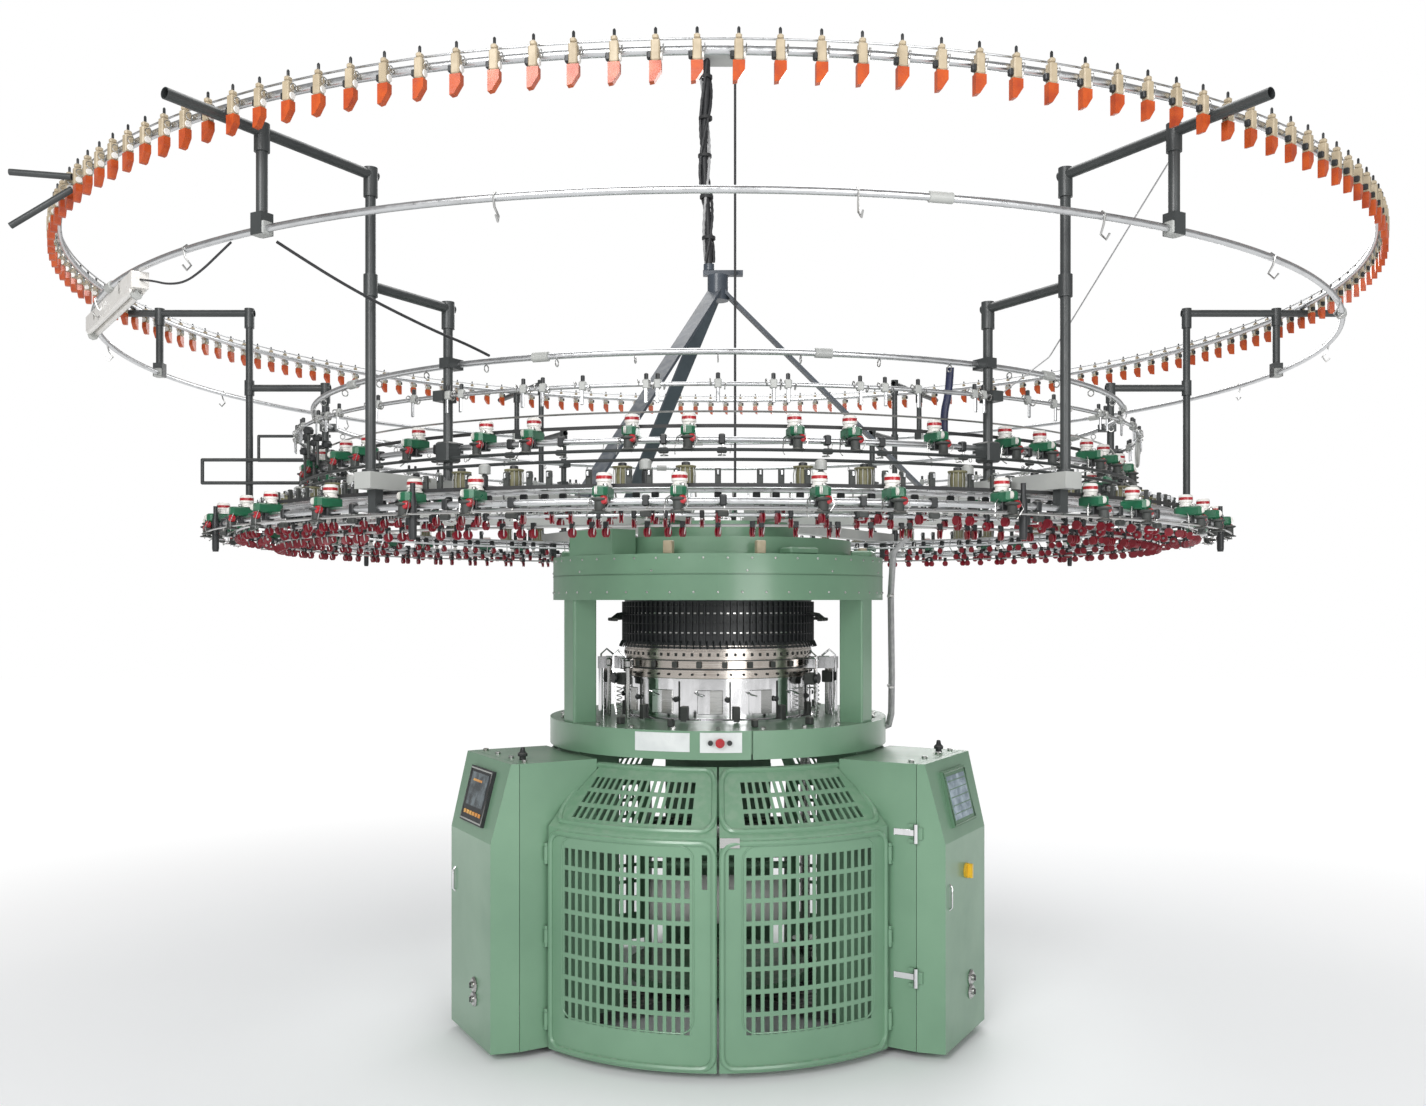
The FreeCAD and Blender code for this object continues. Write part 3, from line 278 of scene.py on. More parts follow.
# paints: colour, shade of the clouds, roughness, clear coat, dust, scale of the clouds and bump
paints = {
    "greenEnamel": ((0.165, 0.305, 0.195), (0.135, 0.262, 0.165), 0.34, 0.35, 0.22),
    # greenPaintedShade: the green enamel painted darker, a shaded copy for the legs, takedown frame, window and drum
    # seam
    "greenPaintedShade": ((0.11, 0.22, 0.135), (0.085, 0.18, 0.105), 0.4, 0.25, 0.3),
    "darkEnamel": ((0.045, 0.05, 0.05), (0.03, 0.034, 0.035), 0.42, 0.1, 0.3, 9.0),
    "steelBlueBar": ((0.06, 0.075, 0.095), (0.04, 0.05, 0.065), 0.38, 0.2, 0.3, 7.0),
    "greyEnamel": ((0.42, 0.43, 0.41), (0.34, 0.35, 0.34), 0.45, 0.1, 0.35, 6.0),
    "castIron": ((0.05, 0.055, 0.052), (0.03, 0.033, 0.03), 0.6, 0.0, 0.5, 20.0, 0.4),
    "blackPlastic": ((0.014, 0.016, 0.017), (0.02, 0.022, 0.024), 0.42, 0.0, 0.35, 25.0, 0.2),
    "blackCable": ((0.018, 0.019, 0.021), (0.03, 0.03, 0.033), 0.5, 0.0, 0.3, 60.0, 0.2),
    "greyCable": ((0.4, 0.4, 0.4), (0.3, 0.3, 0.31), 0.5, 0.0, 0.2, 60.0, 0.2),
    "blueHose": ((0.015, 0.022, 0.07), (0.01, 0.014, 0.045), 0.4, 0.1, 0.2, 30.0, 0.2),
    "redPlastic": ((0.42, 0.012, 0.02), (0.3, 0.01, 0.016), 0.28, 0.2, 0.12, 40.0),
    "darkRedPlastic": ((0.25, 0.008, 0.02), (0.16, 0.006, 0.014), 0.34, 0.1, 0.15, 40.0),
    "greenPlastic": ((0.012, 0.13, 0.06), (0.008, 0.09, 0.042), 0.32, 0.15, 0.2, 30.0),
    "whitePlastic": ((0.78, 0.76, 0.73), (0.68, 0.66, 0.62), 0.3, 0.1, 0.15, 20.0),
    "beigePlastic": ((0.47, 0.39, 0.27), (0.37, 0.3, 0.2), 0.45, 0.0, 0.3, 30.0),
    "yellowPlastic": ((0.75, 0.47, 0.03), (0.6, 0.36, 0.02), 0.3, 0.1, 0.1, 30.0),
    "oliveReel": ((0.2, 0.19, 0.1), (0.13, 0.12, 0.06), 0.5, 0.0, 0.25, 30.0),
    "blackTape": ((0.02, 0.021, 0.023), (0.03, 0.03, 0.03), 0.6, 0.0, 0.3, 60.0, 0.3),
    # nearBlackPaintedShade: near-black painted shade for the holes on the cam ring and the gaps between skirt panels;
    # the cam screws take it too
    "nearBlackPaintedShade": ((0.01, 0.013, 0.012), (0.02, 0.024, 0.02), 0.6, 0.0, 0.1),
    "plateWhite": ((0.72, 0.75, 0.74), (0.62, 0.65, 0.65), 0.3, 0.2, 0.05, 15.0),
}
# metals: colour, stain, roughness, stretch of the turning lines and bump
metals = {
    "aluminium": ((0.62, 0.63, 0.64), (0.4, 0.4, 0.4), 0.3, (60.0, 60.0, 60.0)),
    "steel": ((0.5, 0.5, 0.49), (0.3, 0.27, 0.22), 0.28),
    "chrome": ((0.75, 0.75, 0.76), (0.5, 0.5, 0.5), 0.09, (30.0, 30.0, 3.0), 0.01),
    "warmSteel": ((0.6, 0.55, 0.5), (0.35, 0.28, 0.22), 0.2, (4.0, 4.0, 500.0)),
}
finishes = {name: paintMaterial(name, *values) for name, values in paints.items()}
finishes.update({name: metalMaterial(name, *values) for name, values in metals.items()})


# lamp lens: orange plastic that glows a little through its own thickness
def lensMaterial(name, colour, deep, glow):
    material, tree, shader = newMaterial(name)
    values = {"Colour": rgba(colour), "Shade": rgba(deep), "Rough": 0.25, "DustAmount": 0.05, "Scale": 30.0}
    placeGroup(tree, paintGroup, values, shader, 0.05, 0.0003)
    shader.inputs["Subsurface Weight"].default_value = 0.05
    shader.inputs["Subsurface Radius"].default_value = (0.01, 0.003, 0.001)
    shader.inputs["Emission Color"].default_value = rgba(colour)
    shader.inputs["Emission Strength"].default_value = glow
    return material


finishes["orangeLens"] = lensMaterial("orangeLens", (0.50, 0.085, 0.016), (0.34, 0.045, 0.011), 0.04)


# screen glass: dark with soft bands of painted reflection, and a row of coloured fields; the window and the orange
# keys take the same lighter patches of painted reflection
def paintedReflectionMaterial(name, colour, light):
    material, tree, shader = newMaterial(name)
    place = addNode(tree, "ShaderNodeTexCoord")
    noise = addNode(tree, "ShaderNodeTexNoise", {0: place.outputs["Object"]}, in_2=22.0, in_3=5.0)
    mask = spreadValue(tree, noise.outputs[0], 0.4, 0.65)
    tree.links.new(mixColours(tree, mask, rgba(colour), rgba(light)), shader.inputs["Base Color"])
    shader.inputs["Roughness"].default_value = 0.12
    shader.inputs["Coat Weight"].default_value = 0.6
    return material


finishes["screenGlass"] = paintedReflectionMaterial("screenGlass", (0.02, 0.03, 0.035), (0.16, 0.2, 0.22))
finishes["paleWindow"] = paintedReflectionMaterial("paleWindow", (0.18, 0.25, 0.3), (0.42, 0.52, 0.6))
finishes["orangeKeys"] = paintedReflectionMaterial("orangeKeys", (0.75, 0.3, 0.05), (0.9, 0.5, 0.12))


# knitted cloth on the winding roll: fine ribs round it
def clothMaterial():
    material, tree, shader = newMaterial("knittedCloth")
    place = addNode(tree, "ShaderNodeTexCoord")
    rib = addNode(tree, "ShaderNodeTexWave", {0: place.outputs["Object"]}, in_1=90.0, in_2=1.5)
    noise = addNode(tree, "ShaderNodeTexNoise", {0: place.outputs["Object"]}, in_2=300.0)
    tone = mixColours(tree, noise.outputs[0], rgba((0.62, 0.62, 0.6)), rgba((0.8, 0.8, 0.78)))
    tree.links.new(tone, shader.inputs["Base Color"])
    bump = addNode(tree, "ShaderNodeBump", {2: rib.outputs["Fac"]}, in_0=0.4, in_1=0.001)
    tree.links.new(bump.outputs[0], shader.inputs["Normal"])
    shader.inputs["Roughness"].default_value = 0.9
    shader.inputs["Sheen Weight"].default_value = 0.3
    return material


finishes["knittedCloth"] = clothMaterial()
print("finishes made:", len(finishes))

# shapes: each is a pair of points (n, 3) and faces, worked out as whole arrays


# a surface carried through rings of points (rings, around, 3); each ring is joined to the next by quads,
# and open ends are closed by a fan to the ring's middle
def loftShape(rings, capEnds=True, closePath=False):
    count, around = rings.shape[:2]
    points = rings.reshape(-1, 3)
    lastRing = count if closePath else count - 1
    i, j = np.meshgrid(np.arange(lastRing), np.arange(around), indexing="ij")
    nextI, nextJ = (i + 1) % count, (j + 1) % around
    quads = np.stack([i * around + j, i * around + nextJ, nextI * around + nextJ, nextI * around + j], -1)
    faces = quads.reshape(-1, 4).tolist()
    if capEnds and not closePath:
        middles = np.stack([rings[0].mean(0), rings[-1].mean(0)])
        points = np.vstack([points, middles])
        step = np.arange(around)
        following = (step + 1) % around
        start = np.stack([np.full(around, count * around), following, step], -1)
        base = (count - 1) * around
        end = np.stack([np.full(around, count * around + 1), base + step, base + following], -1)
        faces += start.tolist() + end.tolist()
    return points, faces


# a turned shape: the profile's radius and height swept round the Z axis; a profile that ends where it starts
# makes a hollow ring
def latheShape(profile, steps=16):
    profile = np.array(profile, float)
    angle = np.linspace(0, 2 * np.pi, steps, endpoint=False)
    rings = np.stack([
        profile[:, :1] * np.cos(angle), profile[:, :1] * np.sin(angle), np.repeat(profile[:, 1:], steps, 1)], -1)
    if np.allclose(profile[0], profile[-1]):
        return loftShape(rings[:-1], closePath=True)
    return loftShape(rings)


# a block: a rectangle with cut corners, carried up through levels that pull in by the bevel at each end
def blockShape(sizeX, sizeY, low, high, bevel=0.0015, corner=None):
    corner = bevel if corner is None else corner
    a, b, c = sizeX / 2, sizeY / 2, corner
    outline = np.array([
        (a - c, -b), (a, -b + c), (a, b - c), (a - c, b), (-a + c, b), (-a, b - c), (-a, -b + c), (-a + c, -b)])
    pull = 1 - bevel / np.array([a, b])
    levels = [(outline * pull, low), (outline, low + bevel), (outline, high - bevel), (outline * pull, high)]
    return loftShape(np.array([np.column_stack([flat, np.full(8, z)]) for flat, z in levels]))


# a tube: a circle set square to a path at each of its points, its frame carried along by projection
def tubeShape(path, radius, sides=8, closePath=False):
    path = np.array(path, float)
    if closePath:
        ahead, behind = np.roll(path, -1, 0), np.roll(path, 1, 0)
    else:
        ahead, behind = np.vstack([path[1:], path[-1:]]), np.vstack([path[:1], path[:-1]])
    heading = ahead - behind
    heading /= np.linalg.norm(heading, axis=1, keepdims=True)
    seed = np.array([0.0, 0.0, 1.0]) if abs(heading[:, 2]).max() < 0.97 else np.array([0.31, 0.95, 0.02])
    side = np.cross(heading, seed)
    side /= np.linalg.norm(side, axis=1, keepdims=True)
    lift = np.cross(side, heading)
    angle = np.linspace(0, 2 * np.pi, sides, endpoint=False)
    size = np.broadcast_to(np.asarray(radius, float), (len(path),))[:, None, None]
    rings = path[:, None] - size * (
        np.cos(angle)[None, :, None] * side[:, None] - np.sin(angle)[None, :, None] * lift[:, None])
    return loftShape(rings, closePath=closePath)


# an outline in one plane pushed straight through a thickness, its faces square to the X axis
def plateShape(outline, start, end):
    outline = np.array(outline, float)
    rings = [np.column_stack([np.full(len(outline), x), outline]) for x in (start, end)]
    return loftShape(np.array(rings))


def joinShapes(shapes):
    points, faces, base = [], [], 0
    for shapePoints, shapeFaces in shapes:
        points.append(shapePoints)
        faces += [[index + base for index in face] for face in shapeFaces]
        base += len(shapePoints)
    return np.vstack(points), faces


def moveShape(shape, x=0.0, y=0.0, z=0.0):
    return shape[0] + np.array([x, y, z]), shape[1]


def turnMatrix(axis, degrees):
    c, s = math.cos(math.radians(degrees)), math.sin(math.radians(degrees))
    rows = {"x": [[1, 0, 0], [0, c, -s], [0, s, c]], "y": [[c, 0, s], [0, 1, 0], [-s, 0, c]],
            "z": [[c, -s, 0], [s, c, 0], [0, 0, 1]]}
    return np.array(rows[axis])


def turnShape(shape, axis, degrees):
    return shape[0] @ turnMatrix(axis, degrees).T, shape[1]


# a shape drawn along +X, copied to every azimuth at once by one stack of turning matrices
def aroundShape(shape, azimuths):
    points, faces = shape
    angle = np.radians(np.atleast_1d(azimuths) - 90.0)
    c, s, zero, one = np.cos(angle), np.sin(angle), np.zeros_like(angle), np.ones_like(angle)
    turns = np.stack([np.stack([c, -s, zero], -1), np.stack([s, c, zero], -1), np.stack([zero, zero, one], -1)], 1)
    copies = np.einsum("kij,nj->kni", turns, points).reshape(-1, 3)
    allFaces = []
    for copy in range(len(angle)):
        base = copy * len(points)
        allFaces += [[index + base for index in face] for face in faces]
    return copies, allFaces


def ringPath(radius, height, first=0.0, last=360.0, steps=None):
    steps = steps or max(8, int(abs(last - first) / 2))
    azimuth = np.radians(np.linspace(first, last, steps, endpoint=abs(last - first) < 359.9))
    return np.stack([radius * np.sin(azimuth), -radius * np.cos(azimuth), np.full(steps, height)], -1)


def makePiece(name, parts, body, replaced=(), smooth=35.0):
    mesh = bpy.data.meshes.new(name)
    points, faces = joinShapes([shape for shape, finish in parts])
    mesh.from_pydata(points.tolist(), [], faces)
    order = list(dict.fromkeys(finish for shape, finish in parts))
    index = []
    for shape, finish in parts:
        index += [order.index(finish)] * len(shape[1])
    for finish in order:
        mesh.materials.append(finishes[finish])
    mesh.polygons.foreach_set("material_index", index)
    mesh.update()
    mesh.shade_smooth()
    mesh.set_sharp_from_angle(angle=math.radians(smooth))
    piece = bpy.data.objects.new(name, mesh)
    scene.collection.objects.link(piece)
    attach(piece, body)
    if replaced:
        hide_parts(*replaced)
    return piece


# finishes of the solids that stay as they are
nodeFinish = {
    "castIron": "levelling_feet floor_frame",
    # the legs, instrument window and takedown frame take the darker green as painted shade
    "greenPaintedShade": "legs instrument_window takedown_frame",
    "greenEnamel": (
        "bed_plate bed_fascia leg_cabinets cover_right cover_left cover_rear door_right door_left "
        "rear_guards columns top_drum top_cap gear_box"),
    "chrome": "hinge_pins cam_guard head_brackets",
    "blackPlastic": "touch_screen start_button inch_button striper_ring",
    "yellowPlastic": "main_switch",
    "steel": "door_latch main_shaft motor_pulley cylinder_gear needle_cylinder draw_roll_front draw_roll_rear",
    "plateWhite": "sign_plates",
    "redPlastic": "stop_button yarn_wheels",
    "greyEnamel": "motor radial_arms ceiling_plate",
    "blackTape": "drive_belt feed_tapes",
    "warmSteel": "cam_ring",
    "knittedCloth": "cloth_roll",
    "darkEnamel": "posts cross_tubes pipe_fittings",
    "aluminium": "stop_motion_ring guide_rings feeder_rings reel_ring",
    "steelBlueBar": "tripod",
    "whitePlastic": "lamp_batten feeder_pulleys",
    "beigePlastic": "stop_motions",
    "orangeLens": "stop_lamps",
    "greenPlastic": "feeder_housings",
    "oliveReel": "yarn_reels",
    "blackCable": "supply_cable data_cable side_cables",
}


def finishNodes():
    finishOf = {name: finish for finish, names in nodeFinish.items() for name in names.split()}
    for name, cadNode in nodes.items():
        finish = finishes[finishOf[name]]
        if not cadNode.material_slots:
            cadNode.data.materials.append(finish)
        for materialSlot in cadNode.material_slots:
            materialSlot.material = finish
        cadNode.data.shade_smooth()
        cadNode.data.set_sharp_from_angle(angle=math.radians(30))


finishNodes()
print("solids finished")

# cords: name, route, radius, length, finish, lay and the solid each stands for
cordTable = (
    ("supplyBundle", supplyRoute, 0.014, 0.84, "blackCable", "hanging", "supply_cable"),
    ("dataCable", dataRoute, 0.005, 1.865, "blackCable", "taut", "data_cable"),
    ("lampLead", lampRoute, 0.003, 0.483, "blackCable", "hanging", "side_cables"),
    ("leftSignalLead", leftWireRoute, 0.004, 0.692, "blackCable", "hanging", "side_cables"),
    ("rightSignalLead", rightWireRoute, 0.002, 1.028, "greyCable", "taut", "side_cables"),
    ("airHose", hoseRoute, 0.0115, 0.223, "blueHose", "hanging", "side_cables"),
)


def makeCords():
    for name, route, radius, length, finish, lay, solid in cordTable:
        cord = makeSpline(name, route, radius, finishes[finish])
        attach(cord, "frame")
        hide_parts(solid)


makeCords()
print("cords laid")

# floor, backdrop and four area lights: place, size and power of each light
stageSettings = {
    "floorSize": 40.0, "world": 0.33, "backdrop": 1.0, "fadeStart": 1.6, "fadeEnd": 5.5, "aim": (0, 0, 1.4),
    "near": (0.9, 0.91, 0.92, 1), "far": (0.02, 0.02, 0.02, 1), "lights": (
        ("keyLight", (-2.2, -7.0, 4.4), 3.0, 300.0), ("fillLight", (2.8, -7.0, 2.4), 3.0, 150.0),
        ("topLight", (0.0, 1.0, 6.5), 4.0, 160.0), ("backLight", (2.5, 6.0, 4.0), 3.0, 150.0)),
}


# the floor's colour fades into the backdrop with distance from the machine
def makeFloor(settings):
    half = settings["floorSize"] / 2
    mesh = bpy.data.meshes.new("floor")
    mesh.from_pydata([(-half, -half, 0), (half, -half, 0), (half, half, 0), (-half, half, 0)], [], [(0, 1, 2, 3)])
    material, tree, shader = newMaterial("floorPaint")
    place = addNode(tree, "ShaderNodeTexCoord")
    distance = addNode(tree, "ShaderNodeVectorMath", {0: place.outputs["Object"]}, operation="LENGTH")
    fade = addNode(tree, "ShaderNodeMapRange", interpolation_type="SMOOTHSTEP")
    fade.inputs["From Min"].default_value = settings["fadeStart"]
    fade.inputs["From Max"].default_value = settings["fadeEnd"]
    fade.inputs["To Max"].default_value = settings["backdrop"]
    tree.links.new(distance.outputs["Value"], fade.inputs["Value"])
    tint = mixColours(tree, fade.outputs["Result"], settings["near"], settings["far"])
    tree.links.new(tint, shader.inputs["Base Color"])
    tree.links.new(fade.outputs["Result"], shader.inputs["Emission Strength"])
    shader.inputs["Emission Color"].default_value = (1, 1, 1, 1)
    shader.inputs["Roughness"].default_value = 0.7
    shader.inputs["Specular IOR Level"].default_value = 0.1
    mesh.materials.append(material)
    floor = bpy.data.objects.new("floor", mesh)
    scene.collection.objects.link(floor)


# the lens sees a bright backdrop, and the machine is lit by a dimmer one
def makeBackdrop(settings):
    world = bpy.data.worlds.new("studio")
    world.use_nodes = True
    background = world.node_tree.nodes["Background"]
    background.inputs[0].default_value = (1.0, 1.0, 1.0, 1)
    ray = world.node_tree.nodes.new("ShaderNodeLightPath")
    level = world.node_tree.nodes.new("ShaderNodeMapRange")
    level.inputs["To Min"].default_value = settings["world"]
    level.inputs["To Max"].default_value = settings["backdrop"]
    world.node_tree.links.new(ray.outputs["Is Camera Ray"], level.inputs["Value"])
    world.node_tree.links.new(level.outputs["Result"], background.inputs[1])
    scene.world = world
    scene.view_settings.view_transform = "Standard"


def makeLights(settings):
    for name, place, size, power in settings["lights"]:
        light = bpy.data.lights.new(name, "AREA")
        light.energy = power
        light.size = size
        lamp = bpy.data.objects.new(name, light)
        lamp.location = place
        lamp.rotation_euler = (Vector(settings["aim"]) - Vector(place)).to_track_quat("-Z", "Y").to_euler()
        scene.collection.objects.link(lamp)


makeFloor(stageSettings)
makeBackdrop(stageSettings)
makeLights(stageSettings)
print("stage lit")

# azimuths that repeated units share
pairOffsets = np.array([-26.0, -20.0, -9.0, -3.0, 8.0, 14.0, 24.0])
feederAzimuths = (np.arange(0, 360, 60)[:, None] + pairOffsets[None]).ravel()


# even steps round the axis, each moved by a slow sine where a stray is given
def evenTurns(count, stray=0.0, rate=0.0):
    step = np.arange(count)
    return step * 360.0 / count + stray * np.sin(step * rate)


# where a node's points lie: inner radius, outer radius, lowest and highest level
def nodeReach(name):
    points = nodePoints(name)
    radius = np.hypot(points[:, 0], points[:, 1])
    return radius.min(), radius.max(), points[:, 2].min(), points[:, 2].max()


# small hardware is drawn along +X at its radius, then spread over its azimuths
def spreadParts(azimuths, *parts):
    return [(aroundShape(shape, azimuths), finish) for shape, finish in parts]


def blockAt(x, y, sizeX, sizeY, low, high, bevel=0.0015, corner=None):
    return moveShape(blockShape(sizeX, sizeY, low, high, bevel, corner), x, y)


def latheAt(profile, steps, x, y=0.0, z=0.0):
    return moveShape(latheShape(profile, steps), x, y, z)


# a turned shape laid on its side: "x" lays its axis along Y, "y" lays it outward along X
def layAt(axis, profile, steps, x, y=0.0, z=0.0):
    return moveShape(turnShape(latheShape(profile, steps), axis, 90), x, y, z)


# a closed loop of wire that stands on edge
def eyeAt(radius, x, y, z, wire, steps=10, turn=90):
    loop = ringPath(radius, 0.0, steps=steps) @ turnMatrix("x", turn).T
    return tubeShape(loop + np.array([x, y, z]), wire, 5, True)


def bandShape(inner, outer, low, high, steps):
    return latheShape([(inner, low), (outer, low), (outer, high), (inner, high), (inner, low)], steps)


# stop motions on the top ring
stopSettings = {
    "count": 168, "width": 0.019, "depth": 0.022, "crown": 0.012, "pin": 0.0035, "pinRise": 0.016,
    "lampDrop": 0.045, "lampShare": 0.68, "lampStep": 0.020, "inset": 0.002, "guide": 0.009,
}


def makeStopMotions(settings):
    inner, outer, bottom, high = nodeReach("stop_motions")
    top = high - settings["pinRise"]
    shoulder = top - settings["crown"]
    width, depth, pin, inset = settings["width"], settings["depth"], settings["pin"], settings["inset"]
    middle = inner + depth / 2
    azimuths = (np.arange(settings["count"]) + 0.5) * 360.0 / settings["count"]
    disc = [(0.002, -0.002), (0.008, -0.002), (0.009, 0.0), (0.008, 0.002), (0.002, 0.002)]
    makePiece("stopMotionBodies", spreadParts(
        azimuths,
        (blockAt(middle, 0, depth, width, bottom, shoulder, 0.0025), "beigePlastic"),
        (blockAt(middle, 0, depth * 0.8, width * 0.7, shoulder, top, 0.003), "beigePlastic"),
        (latheAt([(pin, top), (pin, high - 0.003), (0.0015, high)], 8, middle), "blackPlastic"),
        (eyeAt(settings["guide"], middle, width / 2 + 0.007, bottom + 0.03, 0.0013), "steel"),
        (blockAt(middle, -width / 2 - 0.004, 0.014, 0.010, bottom + 0.006, bottom + 0.022, 0.002), "blackPlastic"),
        (blockAt(inner + 0.003, 0, 0.010, width * 0.9, bottom + 0.012, bottom + 0.034, 0.002), "greyEnamel"),
        (layAt("x", disc, 10, middle, width / 2 + 0.003, bottom + 0.012), "whitePlastic"),
    ), "frame", ["stop_motions"])
    half, drop = width * settings["lampShare"], settings["lampDrop"]
    wedge = [(-half, 0), (half, 0), (half, -settings["lampStep"]), (-half * 0.2, -drop + 0.002), (-half, -drop)]
    lens = moveShape(plateShape(wedge, inner + inset, outer - inset), z=bottom)
    makePiece("stopMotionLenses", spreadParts(azimuths, (lens, "orangeLens")),
              "frame", ["stop_lamps"], 20)


makeStopMotions(stopSettings)
print("stop motions made")

# feeders on both tiers: body, belt pulley with a red band, yarn wheel, stop lamp and wire guides
feederSettings = {
    "radii": (1.545, 1.862), "levels": (2.045, 1.850), "tube": 0.009, "length": 0.085, "width": 0.040,
    "height": 0.028, "pulley": 0.021, "pulleyHeight": 0.037, "bandLow": 0.020, "bandTop": 0.0285,
    "inset": 0.010, "wheel": 0.022, "wheelHeight": 0.042, "offset": 0.036,
}


def feederHousing(radius, level, settings):
    base = level + settings["tube"]
    top = base + settings["height"]
    length, width = settings["length"], settings["width"]
    half, tip = width / 2, radius + length / 2
    screw = [(0.004, 0), (0.006, 0.001), (0.006, 0.007), (0.002, 0.009)]
    tension = [(0.002, -0.004), (0.011, -0.003), (0.011, -0.001), (0.004, 0), (0.011, 0.001), (0.011, 0.003),
               (0.002, 0.004)]
    arm = [(radius, -half + 0.002, base + 0.008), (radius + 0.010, -half - 0.014, base - 0.004),
           (radius + 0.012, -half - 0.018, base - 0.04), (radius + 0.03, -half - 0.016, base - 0.052)]
    return (
        (blockAt(radius, 0, length, width, base, top, 0.004, 0.009), "greenPlastic"),
        (blockAt(radius - 0.012, 0, length * 0.5, width * 0.8, top, top + 0.004, 0.0015, 0.006), "greenPlastic"),
        (blockAt(tip - 0.012, 0, 0.018, width * 0.55, base - 0.012, base + 0.004, 0.003), "greenPlastic"),
        (blockAt(radius, 0, 0.026, 0.030, level - 0.014, base, 0.002), "blackPlastic"),
        (latheAt(screw, 8, radius + 0.012, 0.008, top), "steel"),
        (layAt("x", tension, 12, tip - 0.004, -half * 0.4, base + 0.016), "whitePlastic"),
        (tubeShape(arm, 0.0018, 5), "steel"),
    )


def feederPulley(radius, level, settings):
    top = level + settings["tube"] + settings["height"]
    p, h, low, high = (settings[key] for key in ("pulley", "pulleyHeight", "bandLow", "bandTop"))
    drum = [(0.004, 0), (p, 0), (p, 0.004), (p - 0.003, 0.006), (p - 0.003, 0.012), (p, 0.014), (p, low)]
    band = [(p, low), (p, high), (p - 0.002, high)]
    cap = [(p, high), (p - 0.0015, h - 0.003), (p - 0.005, h), (0.004, h - 0.001)]
    return tuple((latheAt(profile, 14, radius - settings["inset"], 0, top), finish) for profile, finish in (
        (drum, "whitePlastic"), (band, "redPlastic"), (cap, "whitePlastic")))


def feederWheel(radius, level, settings):
    base, half = level + settings["tube"], settings["width"] / 2
    w, h, x = settings["wheel"], settings["wheelHeight"], radius + settings["offset"]
    spool = [(0.004, 0), (w, 0.001), (w, 0.004), (w * 0.62, 0.007), (w * 0.6, h - 0.012), (w * 0.95, h - 0.008),
             (w * 0.95, h - 0.004), (0.006, h)]
    lamp = [(0.004, 0), (0.0105, 0.001), (0.0125, 0.008), (0.010, 0.016), (0.004, 0.019)]
    feeler = [(x, half, base + 0.006), (x + 0.012, half + 0.006, base - 0.02), (x + 0.006, half - 0.01, base - 0.047)]
    return (
        (latheAt(spool, 14, x, 0, base - h), "castIron"),
        (layAt("y", lamp, 12, x - 0.006, half * 0.55, base - 0.008), "redPlastic"),
        (eyeAt(0.008, x - 0.03, -half - 0.009, base - 0.012, 0.0016), "steel"),
        (tubeShape(feeler, 0.0014, 5), "steel"),
    )


def spreadFeeders(makeParts, settings):
    parts = []
    for radius, level in zip(settings["radii"], settings["levels"]):
        parts += spreadParts(feederAzimuths, *makeParts(radius, level, settings))
    return parts


makePiece("feederHousings", spreadFeeders(feederHousing, feederSettings),
          "frame", ["feeder_housings"])
makePiece("feederPulleys", spreadFeeders(feederPulley, feederSettings),
          "frame", ["feeder_pulleys"])

# small red eyelet wheels under the feeders, on their clip rail
eyeletSettings = {"radius": 1.720, "level": 1.825, "wheel": 0.013, "hang": 0.030, "tube": 0.005, "turn": 1.6}


def makeEyeletWheels(settings):
    x, level, r = settings["radius"], settings["level"], settings["wheel"]
    low = level - settings["tube"] - settings["hang"]
    rim = [(0.003, -0.0045), (r, -0.0045), (r, -0.002), (r * 0.55, 0.0), (r, 0.002), (r, 0.0045), (0.003, 0.0045)]
    stem = [(x, 0.0, low + r), (x + 0.004, 0.006, low + 0.02), (x, 0.003, level)]
    hub = [(0.002, -0.008), (0.004, -0.008), (0.004, 0.008), (0.002, 0.008)]
    azimuths = np.concatenate([feederAzimuths - settings["turn"], feederAzimuths + settings["turn"]])
    makePiece("yarnWheels", spreadFeeders(feederWheel, feederSettings) + spreadParts(
        azimuths,
        (layAt("x", rim, 12, x, 0, low + r), "darkRedPlastic"),
        (tubeShape(stem, 0.0022, 5), "steel"),
        (blockAt(x, 0, 0.018, 0.012, level - 0.009, level + 0.012, 0.002), "blackPlastic"),
        (layAt("x", hub, 8, x, 0, low + r), "steel"),
    ), "frame", ["yarn_wheels"])


makeEyeletWheels(eyeletSettings)

# storage reels that stand on the flat ring
reelSettings = {"radius": 1.650, "level": 1.900, "flange": 0.030, "core": 0.021, "height": 0.072, "fingers": 12}


def makeReels(settings):
    f, c, h, z = settings["flange"], settings["core"], settings["height"], settings["level"]
    spool = [(0.005, 0), (f, 0), (f, 0.005), (c, 0.008), (c, h - 0.02), (f * 0.92, h - 0.015),
             (f * 0.92, h - 0.011), (0.008, h - 0.010)]
    cap = [(0.003, h - 0.0101), (0.012, h - 0.0101), (0.012, h - 0.002), (0.008, h), (0.002, h)]
    finger = [(c + 0.004, 0, z + 0.006), (c + 0.0055, 0, z + h * 0.5), (c + 0.003, 0, z + h - 0.016)]
    fingers = aroundShape(tubeShape(finger, 0.0012, 4), evenTurns(settings["fingers"]) + 90)
    makePiece("yarnReels", spreadParts(
        feederAzimuths,
        (latheAt(spool, 16, settings["radius"], 0, z), "oliveReel"),
        (latheAt(cap, 10, settings["radius"], 0, z), "blackPlastic"),
        (moveShape(fingers, settings["radius"]), "greyEnamel"),
    ), "frame", ["yarn_reels"])


makeReels(reelSettings)
print("feeders made")

# clips with wire eyes on the guide ring
clipSettings = {"radius": 1.602, "level": 2.190, "count": 84, "stray": 1.7, "rate": 2.4, "eye": 0.009}


